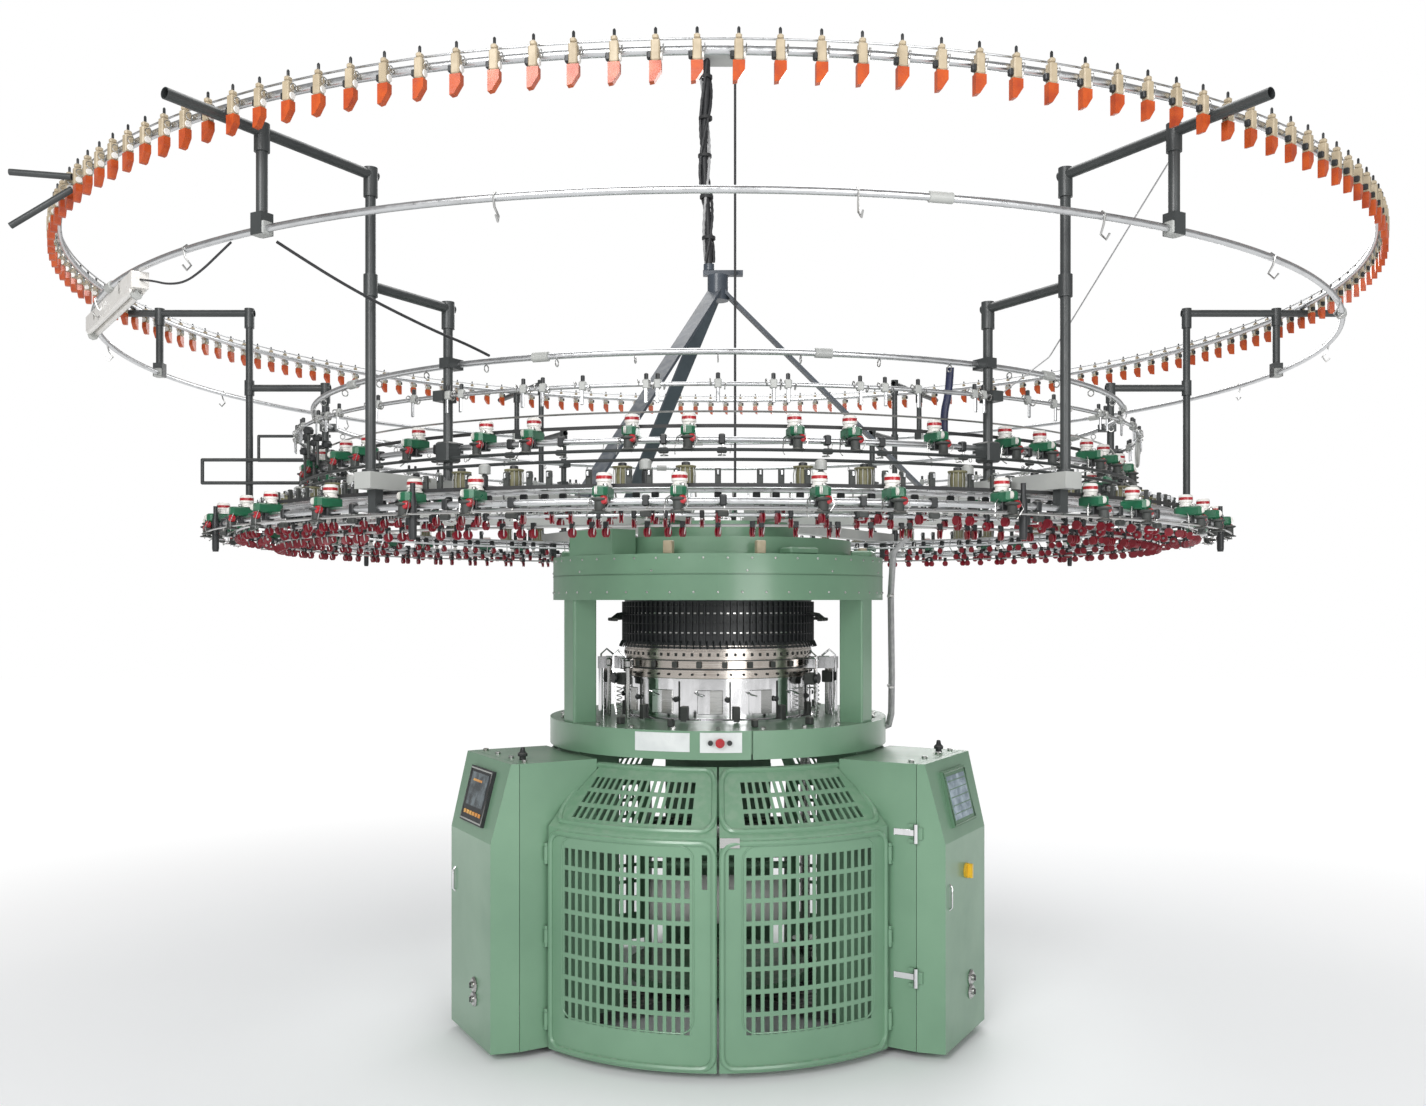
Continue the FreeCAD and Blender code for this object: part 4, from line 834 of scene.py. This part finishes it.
def clipParts(settings):
    r, z, eye = settings["radius"], settings["level"], settings["eye"]
    return spreadParts(
        evenTurns(settings["count"], settings["stray"], settings["rate"]),
        (blockAt(r, 0, 0.016, 0.020, z - 0.012, z + 0.014, 0.003), "greyEnamel"),
        (blockAt(r + 0.006, 0, 0.006, 0.010, z - 0.052, z - 0.010, 0.002), "aluminium"),
        (latheAt([(0.003, 0), (0.006, 0.001), (0.006, 0.016), (0.003, 0.018)], 8, r, 0, z + 0.013), "blackPlastic"),
        (eyeAt(eye, r + 0.004, 0.020, z - 0.006, 0.002, 9, 80), "steel"),
        (eyeAt(eye, r + 0.004, -0.020, z + 0.004, 0.002, 9, 100), "steel"),
    )


# clamps on both feeder rings, and towers, hangers and pegs on the flat ring; towers leave room for the arms
railSettings = {
    "turn": 3.4, "tiers": ((1, 0.046), (0, 0.044)), "towers": 126, "stray": 0.8, "rate": 1.7, "armGap": 1.6,
    "hangerTurn": 1.2, "pegTurn": 2.0,
}


def makeRailHardware(settings):
    parts = clipParts(clipSettings)
    for tier, reach in settings["tiers"]:
        x, level = feederSettings["radii"][tier], feederSettings["levels"][tier]
        foot = level - reach
        rod = [(x, 0, level + 0.010), (x + 0.004, 0.004, level - 0.03), (x + 0.002, 0, foot)]
        loop = ringPath(0.010, 0.0, steps=10) + np.array([x - 0.012, 0.0, foot + 0.002])
        parts += spreadParts(
            feederAzimuths + settings["turn"],
            (blockAt(x, 0, 0.024, 0.018, level - 0.013, level + 0.016, 0.003), "blackPlastic"),
            (tubeShape(rod, 0.003, 6), "steel"),
            (tubeShape(loop, 0.002, 5, True), "chrome"),
            (blockAt(x + 0.006, 0, 0.018, 0.028, foot + 0.006, foot + 0.022, 0.003), "castIron"),
        )
    inner, outer, low, top = nodeReach("reel_ring")
    under, near = 0.5 * (inner + outer) - 0.04, inner + 0.02
    many = evenTurns(settings["towers"], settings["stray"], settings["rate"])
    for arm in (0.0, 60.0):
        many = many[np.abs((many + 30.0) % 60.0 - arm) > settings["armGap"]]
    porcelain = [(0.003, -0.005), (0.008, -0.004), (0.006, 0), (0.008, 0.004), (0.003, 0.005)]
    parts += spreadParts(
        many,
        (blockAt(outer - 0.018, 0, 0.012, 0.016, top, top + 0.046, 0.002), "castIron"),
        (blockAt(outer - 0.020, 0, 0.034, 0.006, top + 0.028, top + 0.040, 0.001), "aluminium"),
        (blockAt(under, 0, 0.016, 0.020, low - 0.036, low, 0.003), "blackPlastic"),
        (layAt("x", porcelain, 10, under, 0.0, low - 0.044), "whitePlastic"),
    )
    hanger = [(near, 0.006, low), (inner + 0.012, 0.008, low - 0.03), (inner + 0.03, -0.002, low - 0.062),
              (inner + 0.05, 0.003, low - 0.05)]
    parts += spreadParts(many + settings["hangerTurn"], (tubeShape(hanger, 0.0025, 5), "steel"))
    peg = [(0.006, 0), (0.010, 0.002), (0.010, 0.05), (0.006, 0.054)]
    head = [(0.006, 0.054), (0.017, 0.056), (0.017, 0.078), (0.010, 0.084), (0.003, 0.084)]
    parts += spreadParts(
        feederAzimuths[::2] + settings["pegTurn"],
        (latheAt(peg, 10, near, 0, top), "blackPlastic"), (latheAt(head, 12, near, 0, top), "greyEnamel"))
    makePiece("railHardware", parts, "frame")


makeRailHardware(railSettings)

# light rails and double rods that tie the tiers together: radius, level, thickness and finish
railTable = (
    (1.590, 2.012, 0.005, "darkEnamel"), (1.590, 1.985, 0.005, "darkEnamel"), (1.760, 1.885, 0.004, "aluminium"),
    (1.800, 1.838, 0.005, "aluminium"), (1.665, 1.800, 0.004, "steel"), (1.535, 1.862, 0.005, "aluminium"),
    (1.905, 1.826, 0.003, "steel"), (1.515, 2.128, 0.003, "steel"),
)
makePiece("yarnRails", [
    (tubeShape(ringPath(radius, level, steps=144), size, 6, True), finish)
    for radius, level, size, finish in railTable
], "frame")
print("small hardware made")

# gate doors: raised beads frame the drum part and the slope, and a fine one edges the slots;
# each loop has its lowest and highest level, first and last azimuth, and its share of the bead's size
doorSettings = {
    "radius": 0.870, "topRadius": 0.660, "bend": 0.810, "top": 1.018, "bead": 0.0105, "corner": 0.045,
    "loops": ((0.045, 0.792, 0.9, 42.2, 1.0), (0.828, 1.008, 0.9, 42.2, 1.0), (0.160, 0.782, 5.4, 38.4, 0.3)),
}


def gateRadiusAt(height, settings):
    share = np.clip((height - settings["bend"]) / (settings["top"] - settings["bend"]), 0.0, 1.0)
    return settings["radius"] + share * (settings["topRadius"] - settings["radius"])


# a rounded rectangle of azimuth and level laid on the gate's surface
def gateLoop(low, high, first, last, side, settings):
    corner = settings["corner"]
    cornerTurn = math.degrees(corner / settings["radius"])
    left, right, lower, upper = first + cornerTurn, last - cornerTurn, low + corner, high - corner
    points = []
    for turn, level, start in ((right, upper, 0), (left, upper, 90), (left, lower, 180), (right, lower, 270)):
        for angle in np.radians(start + np.linspace(0, 90, 6)):
            points.append((turn + cornerTurn * math.cos(angle), level + corner * math.sin(angle)))
    points.append(points[0])
    turns, levels = [], []
    for (turnA, levelA), (turnB, levelB) in zip(points, points[1:]):
        steps = max(1, int(abs(turnA - turnB) / 2.0))
        turns += list(np.linspace(turnA, turnB, steps, endpoint=False))
        levels += list(np.linspace(levelA, levelB, steps, endpoint=False))
    angles, levels = np.radians(np.array(turns) * side), np.array(levels)
    radii = gateRadiusAt(levels, settings)
    return np.stack([radii * np.sin(angles), -radii * np.cos(angles), levels], 1)


def makeDoorBeads(settings):
    for name, side, body in (("doorBeadRight", 1, "door_right"), ("doorBeadLeft", -1, "door_left")):
        makePiece(name, [
            (tubeShape(gateLoop(*loop, side, settings), settings["bead"] * share, 8, True), "greenEnamel")
            for *loop, share in settings["loops"]
        ], body)


makeDoorBeads(doorSettings)
print("door beads made")

# striper fingers: fins, bent fingers, rows of dots between rims, and long fingers at both sides
striperSettings = {
    "radius": 0.374, "low": 1.430, "top": 1.600, "count": 96, "fingerTurn": 1.2, "dotTurn": 1.875,
    "rows": (0.045, 0.085, 0.118, 0.150),
}


def makeStriperDetail(settings):
    r, low, top, count = settings["radius"], settings["low"], settings["top"], settings["count"]
    turns = evenTurns(count)
    fin = blockAt(r + 0.004, 0, 0.012, 0.004, low + 0.012, top - 0.006, 0)
    finger = [(r - 0.004, 0, low + 0.02), (r + 0.012, 0, low + 0.006), (r + 0.020, 0.003, low - 0.012)]
    parts = spreadParts(turns, (fin, "blackPlastic"))
    parts += spreadParts(turns + settings["fingerTurn"], (tubeShape(finger, 0.0028, 4), "blackPlastic"))
    for row, rise in enumerate(settings["rows"]):
        level = low + rise
        dot = blockAt(r + 0.0015, 0, 0.004, 0.009, level, level + 0.0055, 0)
        parts += spreadParts(turns + settings["dotTurn"], (dot, "castIron" if row % 2 else "steel"))
        parts.append((bandShape(r - 0.002, r + 0.0075, level - 0.006, level - 0.003, count), "blackPlastic"))
    sideFinger = [(r, 0, top - 0.05), (r + 0.03, 0, top - 0.055), (r + 0.055, 0.006, top - 0.075)]
    parts += spreadParts(
        np.concatenate([np.arange(66, 116, 5.0), np.arange(-114, -64, 5.0)]),
        (tubeShape(sideFinger, 0.004, 5), "blackPlastic"),
        (blockAt(r + 0.056, 0.006, 0.020, 0.012, top - 0.082, top - 0.070, 0.002), "castIron"),
    )
    makePiece("striperFingers", parts, "frame")


# bands round the cam ring: lowest and highest level, how far each stands out, and its finish
camSettings = {
    "radius": 0.370, "steps": 96, "bands": (
        (1.338, 1.344, 0.0025, "blackPlastic"), (1.372, 1.376, 0.002, "castIron"),
        (1.384, 1.410, 0.003, "warmSteel"), (1.418, 1.426, 0.004, "blackPlastic"), (1.300, 1.306, 0.003, "chrome")),
}


def makeCamDetail(settings):
    r = settings["radius"]
    parts = [(bandShape(r - 0.003, r + grow, low, high, settings["steps"]), finish)
             for low, high, grow, finish in settings["bands"]]
    screw = layAt("y", [(0.0045, 0), (0.0045, 0.004), (0.002, 0.006)], 8, r + 0.002, 0.0, 1.322)
    # near-black blocks on the cam band: painted shade for its holes
    parts += spreadParts(evenTurns(72), (blockAt(r + 0.003, 0, 0.003, 0.010, 1.390, 1.402, 0.0), "nearBlackPaintedShade"))
    parts += spreadParts(evenTurns(24) + 4, (blockAt(r + 0.002, 0, 0.009, 0.020, 1.346, 1.370, 0.002), "castIron"))
    # the screw heads take the same near-black
    parts += spreadParts(evenTurns(48), (screw, "nearBlackPaintedShade"))
    makePiece("camBands", parts, "frame")


# the skirt is a row of polished door panels with knobs and cast feet; the gaps between panels are near-black strips
# of painted shade
skirtSettings = {"radius": 0.370, "low": 1.144, "top": 1.300, "panels": 12, "first": 7.0}


def makeSkirtDetail(settings):
    r, low, top = settings["radius"], settings["low"], settings["top"]
    seams = evenTurns(settings["panels"]) + settings["first"]
    lever = [(r, 0, low + 0.11), (r + 0.014, 0, low + 0.112), (r + 0.018, 0.014, low + 0.104),
             (r + 0.018, 0.034, low + 0.098)]
    knob = [(0.003, 0), (0.009, 0.001), (0.011, 0.010), (0.006, 0.016), (0.002, 0.016)]
    plate = blockAt(r + 0.001, 0, 0.006, 0.050, low + 0.030, low + 0.120, 0.002)
    flange = [(r - 0.002, low), (r + 0.014, low), (r + 0.014, low + 0.008), (r + 0.004, low + 0.014),
              (r - 0.002, low + 0.014), (r - 0.002, low)]
    parts = []
    for turn, shape, finish in (
        # near-black strip at each seam: painted shade in the gap between panels
        (0.0, blockAt(r + 0.0008, 0, 0.004, 0.005, low + 0.004, top - 0.004, 0), "nearBlackPaintedShade"),
        (3.4, blockAt(r + 0.006, 0, 0.016, 0.028, low, low + 0.060, 0.003), "castIron"),
        (10, tubeShape(lever, 0.003, 6), "chrome"),
        (-4.0, layAt("y", knob, 10, r, 0.016, low + 0.085), "blackPlastic"),
        (15.0, plate, "chrome"), (22.0, plate, "steel"),
    ):
        parts += spreadParts(seams + turn, (shape, finish))
    parts.insert(-1, (latheShape(flange, 96), "chrome"))
    makePiece("skirtPanels", parts, "frame")


# clutter carried by the side brackets: springs, blocks, handles and yarn tubes
bracketSettings = {
    "places": ((85, 0.455), (-85, 0.455), (150, 0.455), (-150, 0.455), (62, 0.430), (-62, 0.430)),
    "coils": 7, "coilSteps": 85, "coil": 0.010, "coilLow": 1.150, "coilRise": 0.0014,
    "feet": (14, -18, 38, -41, 96, -100, 132, -138), "columns": (60.0, 180.0, 300.0),
}


def makeBracketDetail(settings):
    parts = []
    coil, steps = settings["coil"], settings["coilSteps"]
    turns = np.linspace(0, 2 * math.pi * settings["coils"], steps)
    levels = settings["coilLow"] + settings["coilRise"] * np.arange(steps)
    post = [(0.006, 1.144), (0.008, 1.150), (0.008, 1.340), (0.012, 1.345), (0.012, 1.366), (0.004, 1.372)]
    wheel = [(0.004, -0.006), (0.020, -0.006), (0.022, 0), (0.020, 0.006), (0.004, 0.006)]
    for azimuth, x in settings["places"]:
        spring = np.stack([x + coil * np.cos(turns), coil * np.sin(turns), levels], 1)
        pipe = [(x - 0.04, -0.03, 1.38), (x - 0.01, -0.035, 1.405), (x + 0.012, -0.03, 1.385),
                (x + 0.014, -0.028, 1.25), (x + 0.004, -0.02, 1.16)]
        parts += spreadParts(
            azimuth,
            (tubeShape(spring, 0.0018, 4), "steel"),
            (blockAt(x - 0.02, 0, 0.040, 0.060, 1.275, 1.320, 0.003), "castIron"),
            (blockAt(x - 0.03, 0, 0.050, 0.034, 1.335, 1.378, 0.004), "chrome"),
            (latheAt(post, 10, x - 0.02, 0.036), "steel"),
            (layAt("y", wheel, 14, x + 0.012, -0.02, 1.300), "blackPlastic"),
            (tubeShape(pipe, 0.004, 6), "chrome"),
        )
    bolt = [(0.010, 1.144), (0.010, 1.151), (0.006, 1.153), (0.006, 1.149), (0.002, 1.149)]
    bolts = np.setdiff1d(np.arange(0, 360, 15.0), settings["columns"])
    parts += spreadParts(settings["feet"], (blockAt(0.545, 0, 0.030, 0.020, 1.144, 1.172, 0.003), "castIron"))
    parts += spreadParts(bolts, (latheAt(bolt, 6, 0.620), "steel"))
    makePiece("bracketFittings", parts, "frame")


makeStriperDetail(striperSettings)
makeCamDetail(camSettings)
makeSkirtDetail(skirtSettings)
makeBracketDetail(bracketSettings)
print("knitting head made")

# bolts, blocks and lids on the top drum, and the conduit beside the right column
drumSettings = {
    "radius": 0.655, "rows": ((1.628, 48, 0.0), (1.748, 48, 3.0), (1.704, 12, 9.0)), "top": 1.764,
    "blocks": (-17.0, 14.5, 100, 190, 250), "lids": (30, 75, -80, 140, -140), "conduits": (84.0, 90.0),
    "clipRise": 0.36,
}


def makeDrumDetail(settings):
    r, top = settings["radius"], settings["top"]
    dome = layAt("y", [(0.0045, -0.001), (0.0045, 0.001), (0.003, 0.0028), (0.001, 0.0032)], 8, 0)
    parts = []
    for level, count, offset in settings["rows"]:
        parts += spreadParts(evenTurns(count) + offset, (moveShape(dome, r, 0, level), "steel"))
    # a thin darker green band round the drum: painted shade in the seam
    parts.append((bandShape(0.6530, 0.6566, 1.6885, 1.6915, 144), "greenPaintedShade"))
    parts += spreadParts(settings["blocks"], (blockAt(0.600, 0, 0.030, 0.034, top, 1.812, 0.003), "beigePlastic"))
    parts += spreadParts(settings["lids"], (blockAt(0.585, 0, 0.080, 0.120, top, 1.790, 0.006), "greenEnamel"))
    conduit = [(r, 0, 1.095), (0.682, 0, 1.105), (0.692, 0, 1.15), (0.694, 0, 1.30), (0.690, 0, 1.62),
               (0.700, 0, 1.790), (0.760, 0, 1.850)]
    clip = blockAt(0.690, 0, 0.020, 0.036, 1.250, 1.262, 0.002)
    parts += spreadParts(
        settings["conduits"], (tubeShape(conduit, 0.010, 8), "greyCable"), (clip, "steel"),
        (moveShape(clip, z=settings["clipRise"]), "steel"))
    makePiece("drumFittings", parts, "frame")


makeDrumDetail(drumSettings)

# screens, window, locks, glands and hinge leaves of the cabinets
cabinetSettings = {
    "face": 1.030, "leanStart": 0.755, "top": 1.030, "leanDepth": 0.069, "screen": 0.012, "film": 0.0012,
    "locks": (0.180, 0.230), "lockAcross": 0.05, "keys": 6, "keyStep": 0.03, "bars": 5, "barStep": 0.029,
    "bolts": (-0.20, -0.07, 0.07, 0.20), "hinges": (0.290, 0.790),
}


# a flat shape drawn on the y-z plane, tilted onto the leaning face of a cover
def leanPlace(shape, settings):
    lean = math.degrees(math.atan2(settings["leanDepth"], settings["top"] - settings["leanStart"]))
    middle = 0.5 * (settings["leanStart"] + settings["top"])
    return moveShape(turnShape(shape, "y", -lean), settings["face"] - settings["leanDepth"] / 2, 0, middle)


# a rectangle of that plane, as thick as from start to end
def paneShape(left, right, low, high, start, end):
    return plateShape([(left, low), (right, low), (right, high), (left, high)], start, end)


def makeScreens(settings):
    depth = settings["screen"]
    film = depth + settings["film"]
    y, z = 0.108, 0.092
    frameLoop = np.array([(0, -y, -z), (0, y, -z), (0, y, z), (0, -y, z)]) + [depth - 0.001, 0, 0]
    rim = tubeShape(frameLoop, 0.004, 6, True)
    key = blockShape(0.003, 0.020, -0.072, -0.058, 0.0008)
    screen = [(paneShape(-0.085, 0.085, -0.040, 0.080, depth, film), "screenGlass"), (rim, "greyEnamel")]
    for number in range(settings["keys"]):
        screen.append((moveShape(key, depth + 0.001, -0.075 + settings["keyStep"] * number), "orangeKeys"))
    screen.append((paneShape(-0.06, 0.03, 0.048, 0.056, film, depth + 0.0018), "orangeKeys"))
    # the window's rim and bars take the darker green as painted shade
    window = [(paneShape(-0.092, 0.092, -0.078, 0.078, depth, film), "paleWindow"), (rim, "greenPaintedShade")]
    for number in range(settings["bars"]):
        level = -0.058 + settings["barStep"] * number
        window.append((paneShape(-0.09, 0.09, level, level + 0.003, film, depth + 0.002), "greenPaintedShade"))
    for name, parts, azimuth, body, slotName in (
        ("screenFace", screen, -60.0, "cover_left", "screen"),
        ("windowFace", window, 60.0, "cover_right", "blue_window"),
    ):
        leaning = [(leanPlace(shape, settings), finish) for shape, finish in parts]
        makePiece(name, spreadParts(azimuth, *leaning), body)


def makeLocks(settings):
    face, across = settings["face"], settings["lockAcross"]
    barrel = [(0.004, 0), (0.026, 0), (0.028, 0.004), (0.022, 0.010), (0.012, 0.011), (0.012, 0.018), (0.003, 0.018)]
    lock = layAt("y", barrel, 16, 0)
    keySlot = blockShape(0.004, 0.004, -0.010, 0.010, 0.001)
    parts = []
    for level in settings["locks"]:
        parts.append((moveShape(lock, face - 0.001, across, level), "steel"))
        parts.append((moveShape(keySlot, face + 0.018, across, level), "blackPlastic"))
    grip = [(face - 0.002, -0.17, 0.52), (face + 0.008, -0.17, 0.53), (face + 0.008, -0.17, 0.60),
            (face - 0.002, -0.17, 0.61)]
    parts.append((tubeShape(grip, 0.004, 6), "chrome"))
    for name, azimuth, body in (
        ("lockRight", 60.0, "cover_right"), ("lockLeft", -60.0, "cover_left"), ("lockRear", 180.0, "cover_rear"),
    ):
        makePiece(name, spreadParts(azimuth, *parts), body)


def makeCabinetFittings(settings):
    parts = []
    bolt = [(0.011, 1.030), (0.011, 1.037), (0.007, 1.039), (0.002, 1.039)]
    for across in settings["bolts"]:
        parts += spreadParts([60, -60, 180], (latheAt(bolt, 8, 0.900, across), "steel"))
    gland = [(0.012, 1.030), (0.012, 1.042), (0.018, 1.044), (0.018, 1.052), (0.010, 1.060), (0.007, 1.075),
             (0.003, 1.075)]
    parts += spreadParts([60, -60], (latheAt(gland, 10, 0.880, 0.13), "blackPlastic"))
    leaf = blockShape(0.078, 0.003, -0.011, 0.011, 0.001, 0.004)
    barrel = [(0.003, -0.033), (0.0085, -0.033), (0.0085, 0.033), (0.003, 0.033)]
    for level in settings["hinges"]:
        parts += spreadParts(60, (moveShape(leaf, 0.890, -0.2395, level), "chrome"),
                             (latheAt(barrel, 10, 0.936, -0.2505, level), "chrome"))
    makePiece("cabinetFittings", parts, "frame")


makeScreens(cabinetSettings)
makeLocks(cabinetSettings)
makeCabinetFittings(cabinetSettings)
print("cabinet fittings made")

# hooks, sleeves and clamps on the wide rings
ringSettings = {
    "upperRadius": 2.240, "upperLevel": 2.510, "innerRadius": 1.545, "innerLevel": 2.290, "tube": 0.009,
    "hooks": (8, 24, 41, 57, 76, 98, 118, 137, 163, 178, 197, 214, 236, 257, 284, 303, 322, 347),
    "clamps": (-30, -90, -150, 30, 90, 150), "joints": 12, "jointTurn": 11, "eyes": 42,
}


def makeRingFittings(settings):
    r, z, tube = settings["upperRadius"], settings["upperLevel"], settings["tube"]
    hook = [(r - 0.011, 0, z + 0.002), (r, 0, z + 0.012), (r + 0.011, 0, z + 0.002), (r + 0.004, 0, z - 0.022),
            (r - 0.010, 0.004, z - 0.040), (r + 0.004, 0.008, z - 0.056), (r + 0.016, 0.008, z - 0.044)]
    sleeve = [(tube, -0.030), (tube + 0.004, -0.028), (tube + 0.004, 0.028), (tube, 0.030)]
    turns = np.array(settings["hooks"], float)
    parts = spreadParts(turns, (tubeShape(hook, 0.0028, 6), "steel"))
    parts += spreadParts(turns[::3] + 5.0, (layAt("x", sleeve, 12, r, 0, z), "greyEnamel"))
    parts += spreadParts(
        settings["clamps"], (blockAt(r, 0, 0.034, 0.044, z - 0.016, z + 0.018, 0.003), "greyEnamel"))
    r, z = settings["innerRadius"], settings["innerLevel"]
    joint = [(tube, -0.026), (tube + 0.005, -0.024), (tube + 0.005, 0.024), (tube, 0.026)]
    parts += spreadParts(evenTurns(settings["joints"]) + settings["jointTurn"],
                         (layAt("x", joint, 12, r, 0, z), "greyEnamel"))
    parts += spreadParts(evenTurns(settings["eyes"]), (eyeAt(0.010, r, 0, z - 0.020, 0.002), "steel"))
    makePiece("ringHooks", parts, "frame")


# dark clusters where the posts meet the feeder rings, short feet under the arms, and one tail pulley
clusterSettings = {
    "places": (
        (-90, 2.07), (-84, 2.11), (-96, 2.09), (88, 2.05), (96, 2.08), (-60, 2.05), (-120, 2.06), (120, 2.05)),
    "knobs": 6, "radius": 1.540, "step": 0.030, "across": -0.03, "rowGap": 0.056, "rise": 0.021,
    "bosses": (30, -30, 90, -90, 150, -150), "feet": (62, -62, 118, -118, 25.5, -25.5), "pulley": 76.0,
}


def makeClusters(settings):
    parts = []
    knob = latheShape([(0.004, 0), (0.016, 0.002), (0.018, 0.014), (0.012, 0.024), (0.004, 0.026)], 12)
    rod = latheShape([(0.005, -0.05), (0.005, 0.05)], 8)
    for azimuth, level in settings["places"]:
        for number in range(settings["knobs"]):
            x = settings["radius"] + settings["step"] * (number % 3)
            y = settings["across"] + settings["rowGap"] * (number // 3)
            lift = level + settings["rise"] * number
            parts += spreadParts(azimuth, (moveShape(knob, x, y, lift), "blackPlastic"),
                                 (moveShape(rod, x, y, lift - 0.03), "castIron"))
    boss = moveShape(blockShape(0.060, 0.050, -0.030, 0.030, 0.005), 1.575, 0, 2.030)
    foot = [(0.004, -0.12), (0.009, -0.12), (0.011, -0.11), (0.011, -0.02), (0.007, 0.0), (0.007, 0.03)]
    disc = [(0.010, -0.006), (0.045, -0.006), (0.050, -0.002), (0.050, 0.002), (0.045, 0.006), (0.010, 0.006)]
    parts += spreadParts(settings["bosses"], (boss, "darkEnamel"))
    parts += spreadParts(settings["feet"], (latheAt(foot, 12, 1.88, 0, 1.88), "blackPlastic"))
    parts += spreadParts(settings["pulley"], (layAt("y", disc, 24, 1.60, 0, 2.14), "greyEnamel"))
    makePiece("postClusters", parts, "frame")


# rows of dark red thread wheels under the eyelet rail and the flat ring: radius, level, count and lean
threadSettings = {
    "rows": ((1.665, 1.782, 150, 70), (1.795, 1.812, 126, 100), (1.540, 1.840, 96, 90), (1.600, 1.812, 110, 80)),
    "wheel": 0.0135, "half": 0.005, "stray": 0.9, "rate": 2.1,
}


def makeLowerWheels(settings):
    parts = []
    r, h = settings["wheel"], settings["half"]
    rim = [(0.003, -h), (r, -h), (r, -0.002), (0.007, 0.0), (r, 0.002), (r, h), (0.003, h)]
    for x, level, count, lean in settings["rows"]:
        wheel = turnShape(turnShape(latheShape(rim, 10), "x", 90), "z", lean - 90)
        stem = [(x, 0.004, level - 0.006), (x + 0.005, 0.007, level + 0.012), (x, 0.004, level + 0.028)]
        parts += spreadParts(
            evenTurns(count, settings["stray"], settings["rate"]),
            (moveShape(wheel, x, 0, level), "darkRedPlastic"),
            (tubeShape(stem, 0.0022, 4), "steel"),
            (blockAt(x, 0, 0.010, 0.014, level + 0.012, level + 0.030, 0.001), "blackPlastic"),
        )
    makePiece("threadWheels", parts, "frame")


# the lamp has two bare tubes, end caps and clips to the ring
lampSettings = {"radius": 2.240, "first": -45.6, "last": -62.4, "gap": 0.012, "tube": 0.009, "cap": 0.016}


def makeLampDetail(settings):
    base = nodeBox("lamp_batten")[0][2]
    start, end = (polarPoint(settings["radius"], settings[key]) for key in ("first", "last"))
    along = (end - start) / np.linalg.norm(end - start)
    side = np.array([-along[1], along[0], 0.0])

    # a point beside the line from end to end, at a height from the lamp's underside
    def lampPoint(share, across, rise):
        return start + (end - start) * share + side * across + [0, 0, base + rise]

    parts = []
    for shift in (-settings["gap"], settings["gap"]):
        lamp = [lampPoint(share, shift, -0.004) for share in (0.0, 1.0)]
        parts.append((tubeShape(lamp, settings["tube"], 10), "whitePlastic"))
    for share in (0.0, 1.0):
        cap = lampPoint(share, 0.0, -0.012)
        parts.append((tubeShape([cap, cap + along * 0.012], settings["cap"], 8), "greyEnamel"))
    for share in (0.2, 0.8):
        strap = [lampPoint(share, across, rise) for across, rise in (
            (0.02, 0.01), (0.024, 0.045), (-0.024, 0.045), (-0.02, 0.01))]
        parts.append((tubeShape(strap, 0.0022, 5), "steel"))
    makePiece("lampTubes", parts, "frame")


# extra strands twisted beside the supply cable, with ties: phase, thickness and finish of each strand
strandSettings = {
    "strands": ((0.0, 0.0065, "blackCable"), (2.2, 0.0055, "greyCable"), (4.1, 0.006, "blackCable")),
    "cable": 0.014, "steps": 60, "near": 16, "window": 13, "twist": 7.5, "tieStep": 0.16,
}


def makeSupplyStrands(settings):
    low, high = nodeBox("supply_cable")
    levels = np.linspace(low[2] + 0.03, high[2], settings["steps"])
    points = nodePoints("supply_cable")
    near, window = settings["near"], settings["window"]
    centre = np.array([points[np.argsort(np.abs(points[:, 2] - level))[:near], :2].mean(0) for level in levels])
    smooth = np.stack([
        np.convolve(np.pad(centre[:, k], window // 2, "edge"), np.ones(window) / window, "valid") for k in (0, 1)], 1)
    parts = []
    for phase, radius, finish in settings["strands"]:
        swing = phase + np.linspace(0, settings["twist"], len(levels))
        reach = settings["cable"] + radius
        path = np.stack([smooth[:, 0] + reach * np.cos(swing), smooth[:, 1] + reach * np.sin(swing), levels], 1)
        parts.append((tubeShape(path, radius, 7), finish))
    for level in np.arange(levels[0] + 0.1, levels[-1], settings["tieStep"]):
        index = int(np.argmin(np.abs(levels - level)))
        tie = bandShape(0.021, 0.0275, -0.006, 0.006, 14)
        parts.append((moveShape(tie, smooth[index, 0], smooth[index, 1], levels[index]), "blackTape"))
    makePiece("supplyStrands", parts, "frame")


makeRingFittings(ringSettings)
makeClusters(clusterSettings)
makeLowerWheels(threadSettings)
makeLampDetail(lampSettings)
makeSupplyStrands(strandSettings)
print("ring fittings made")
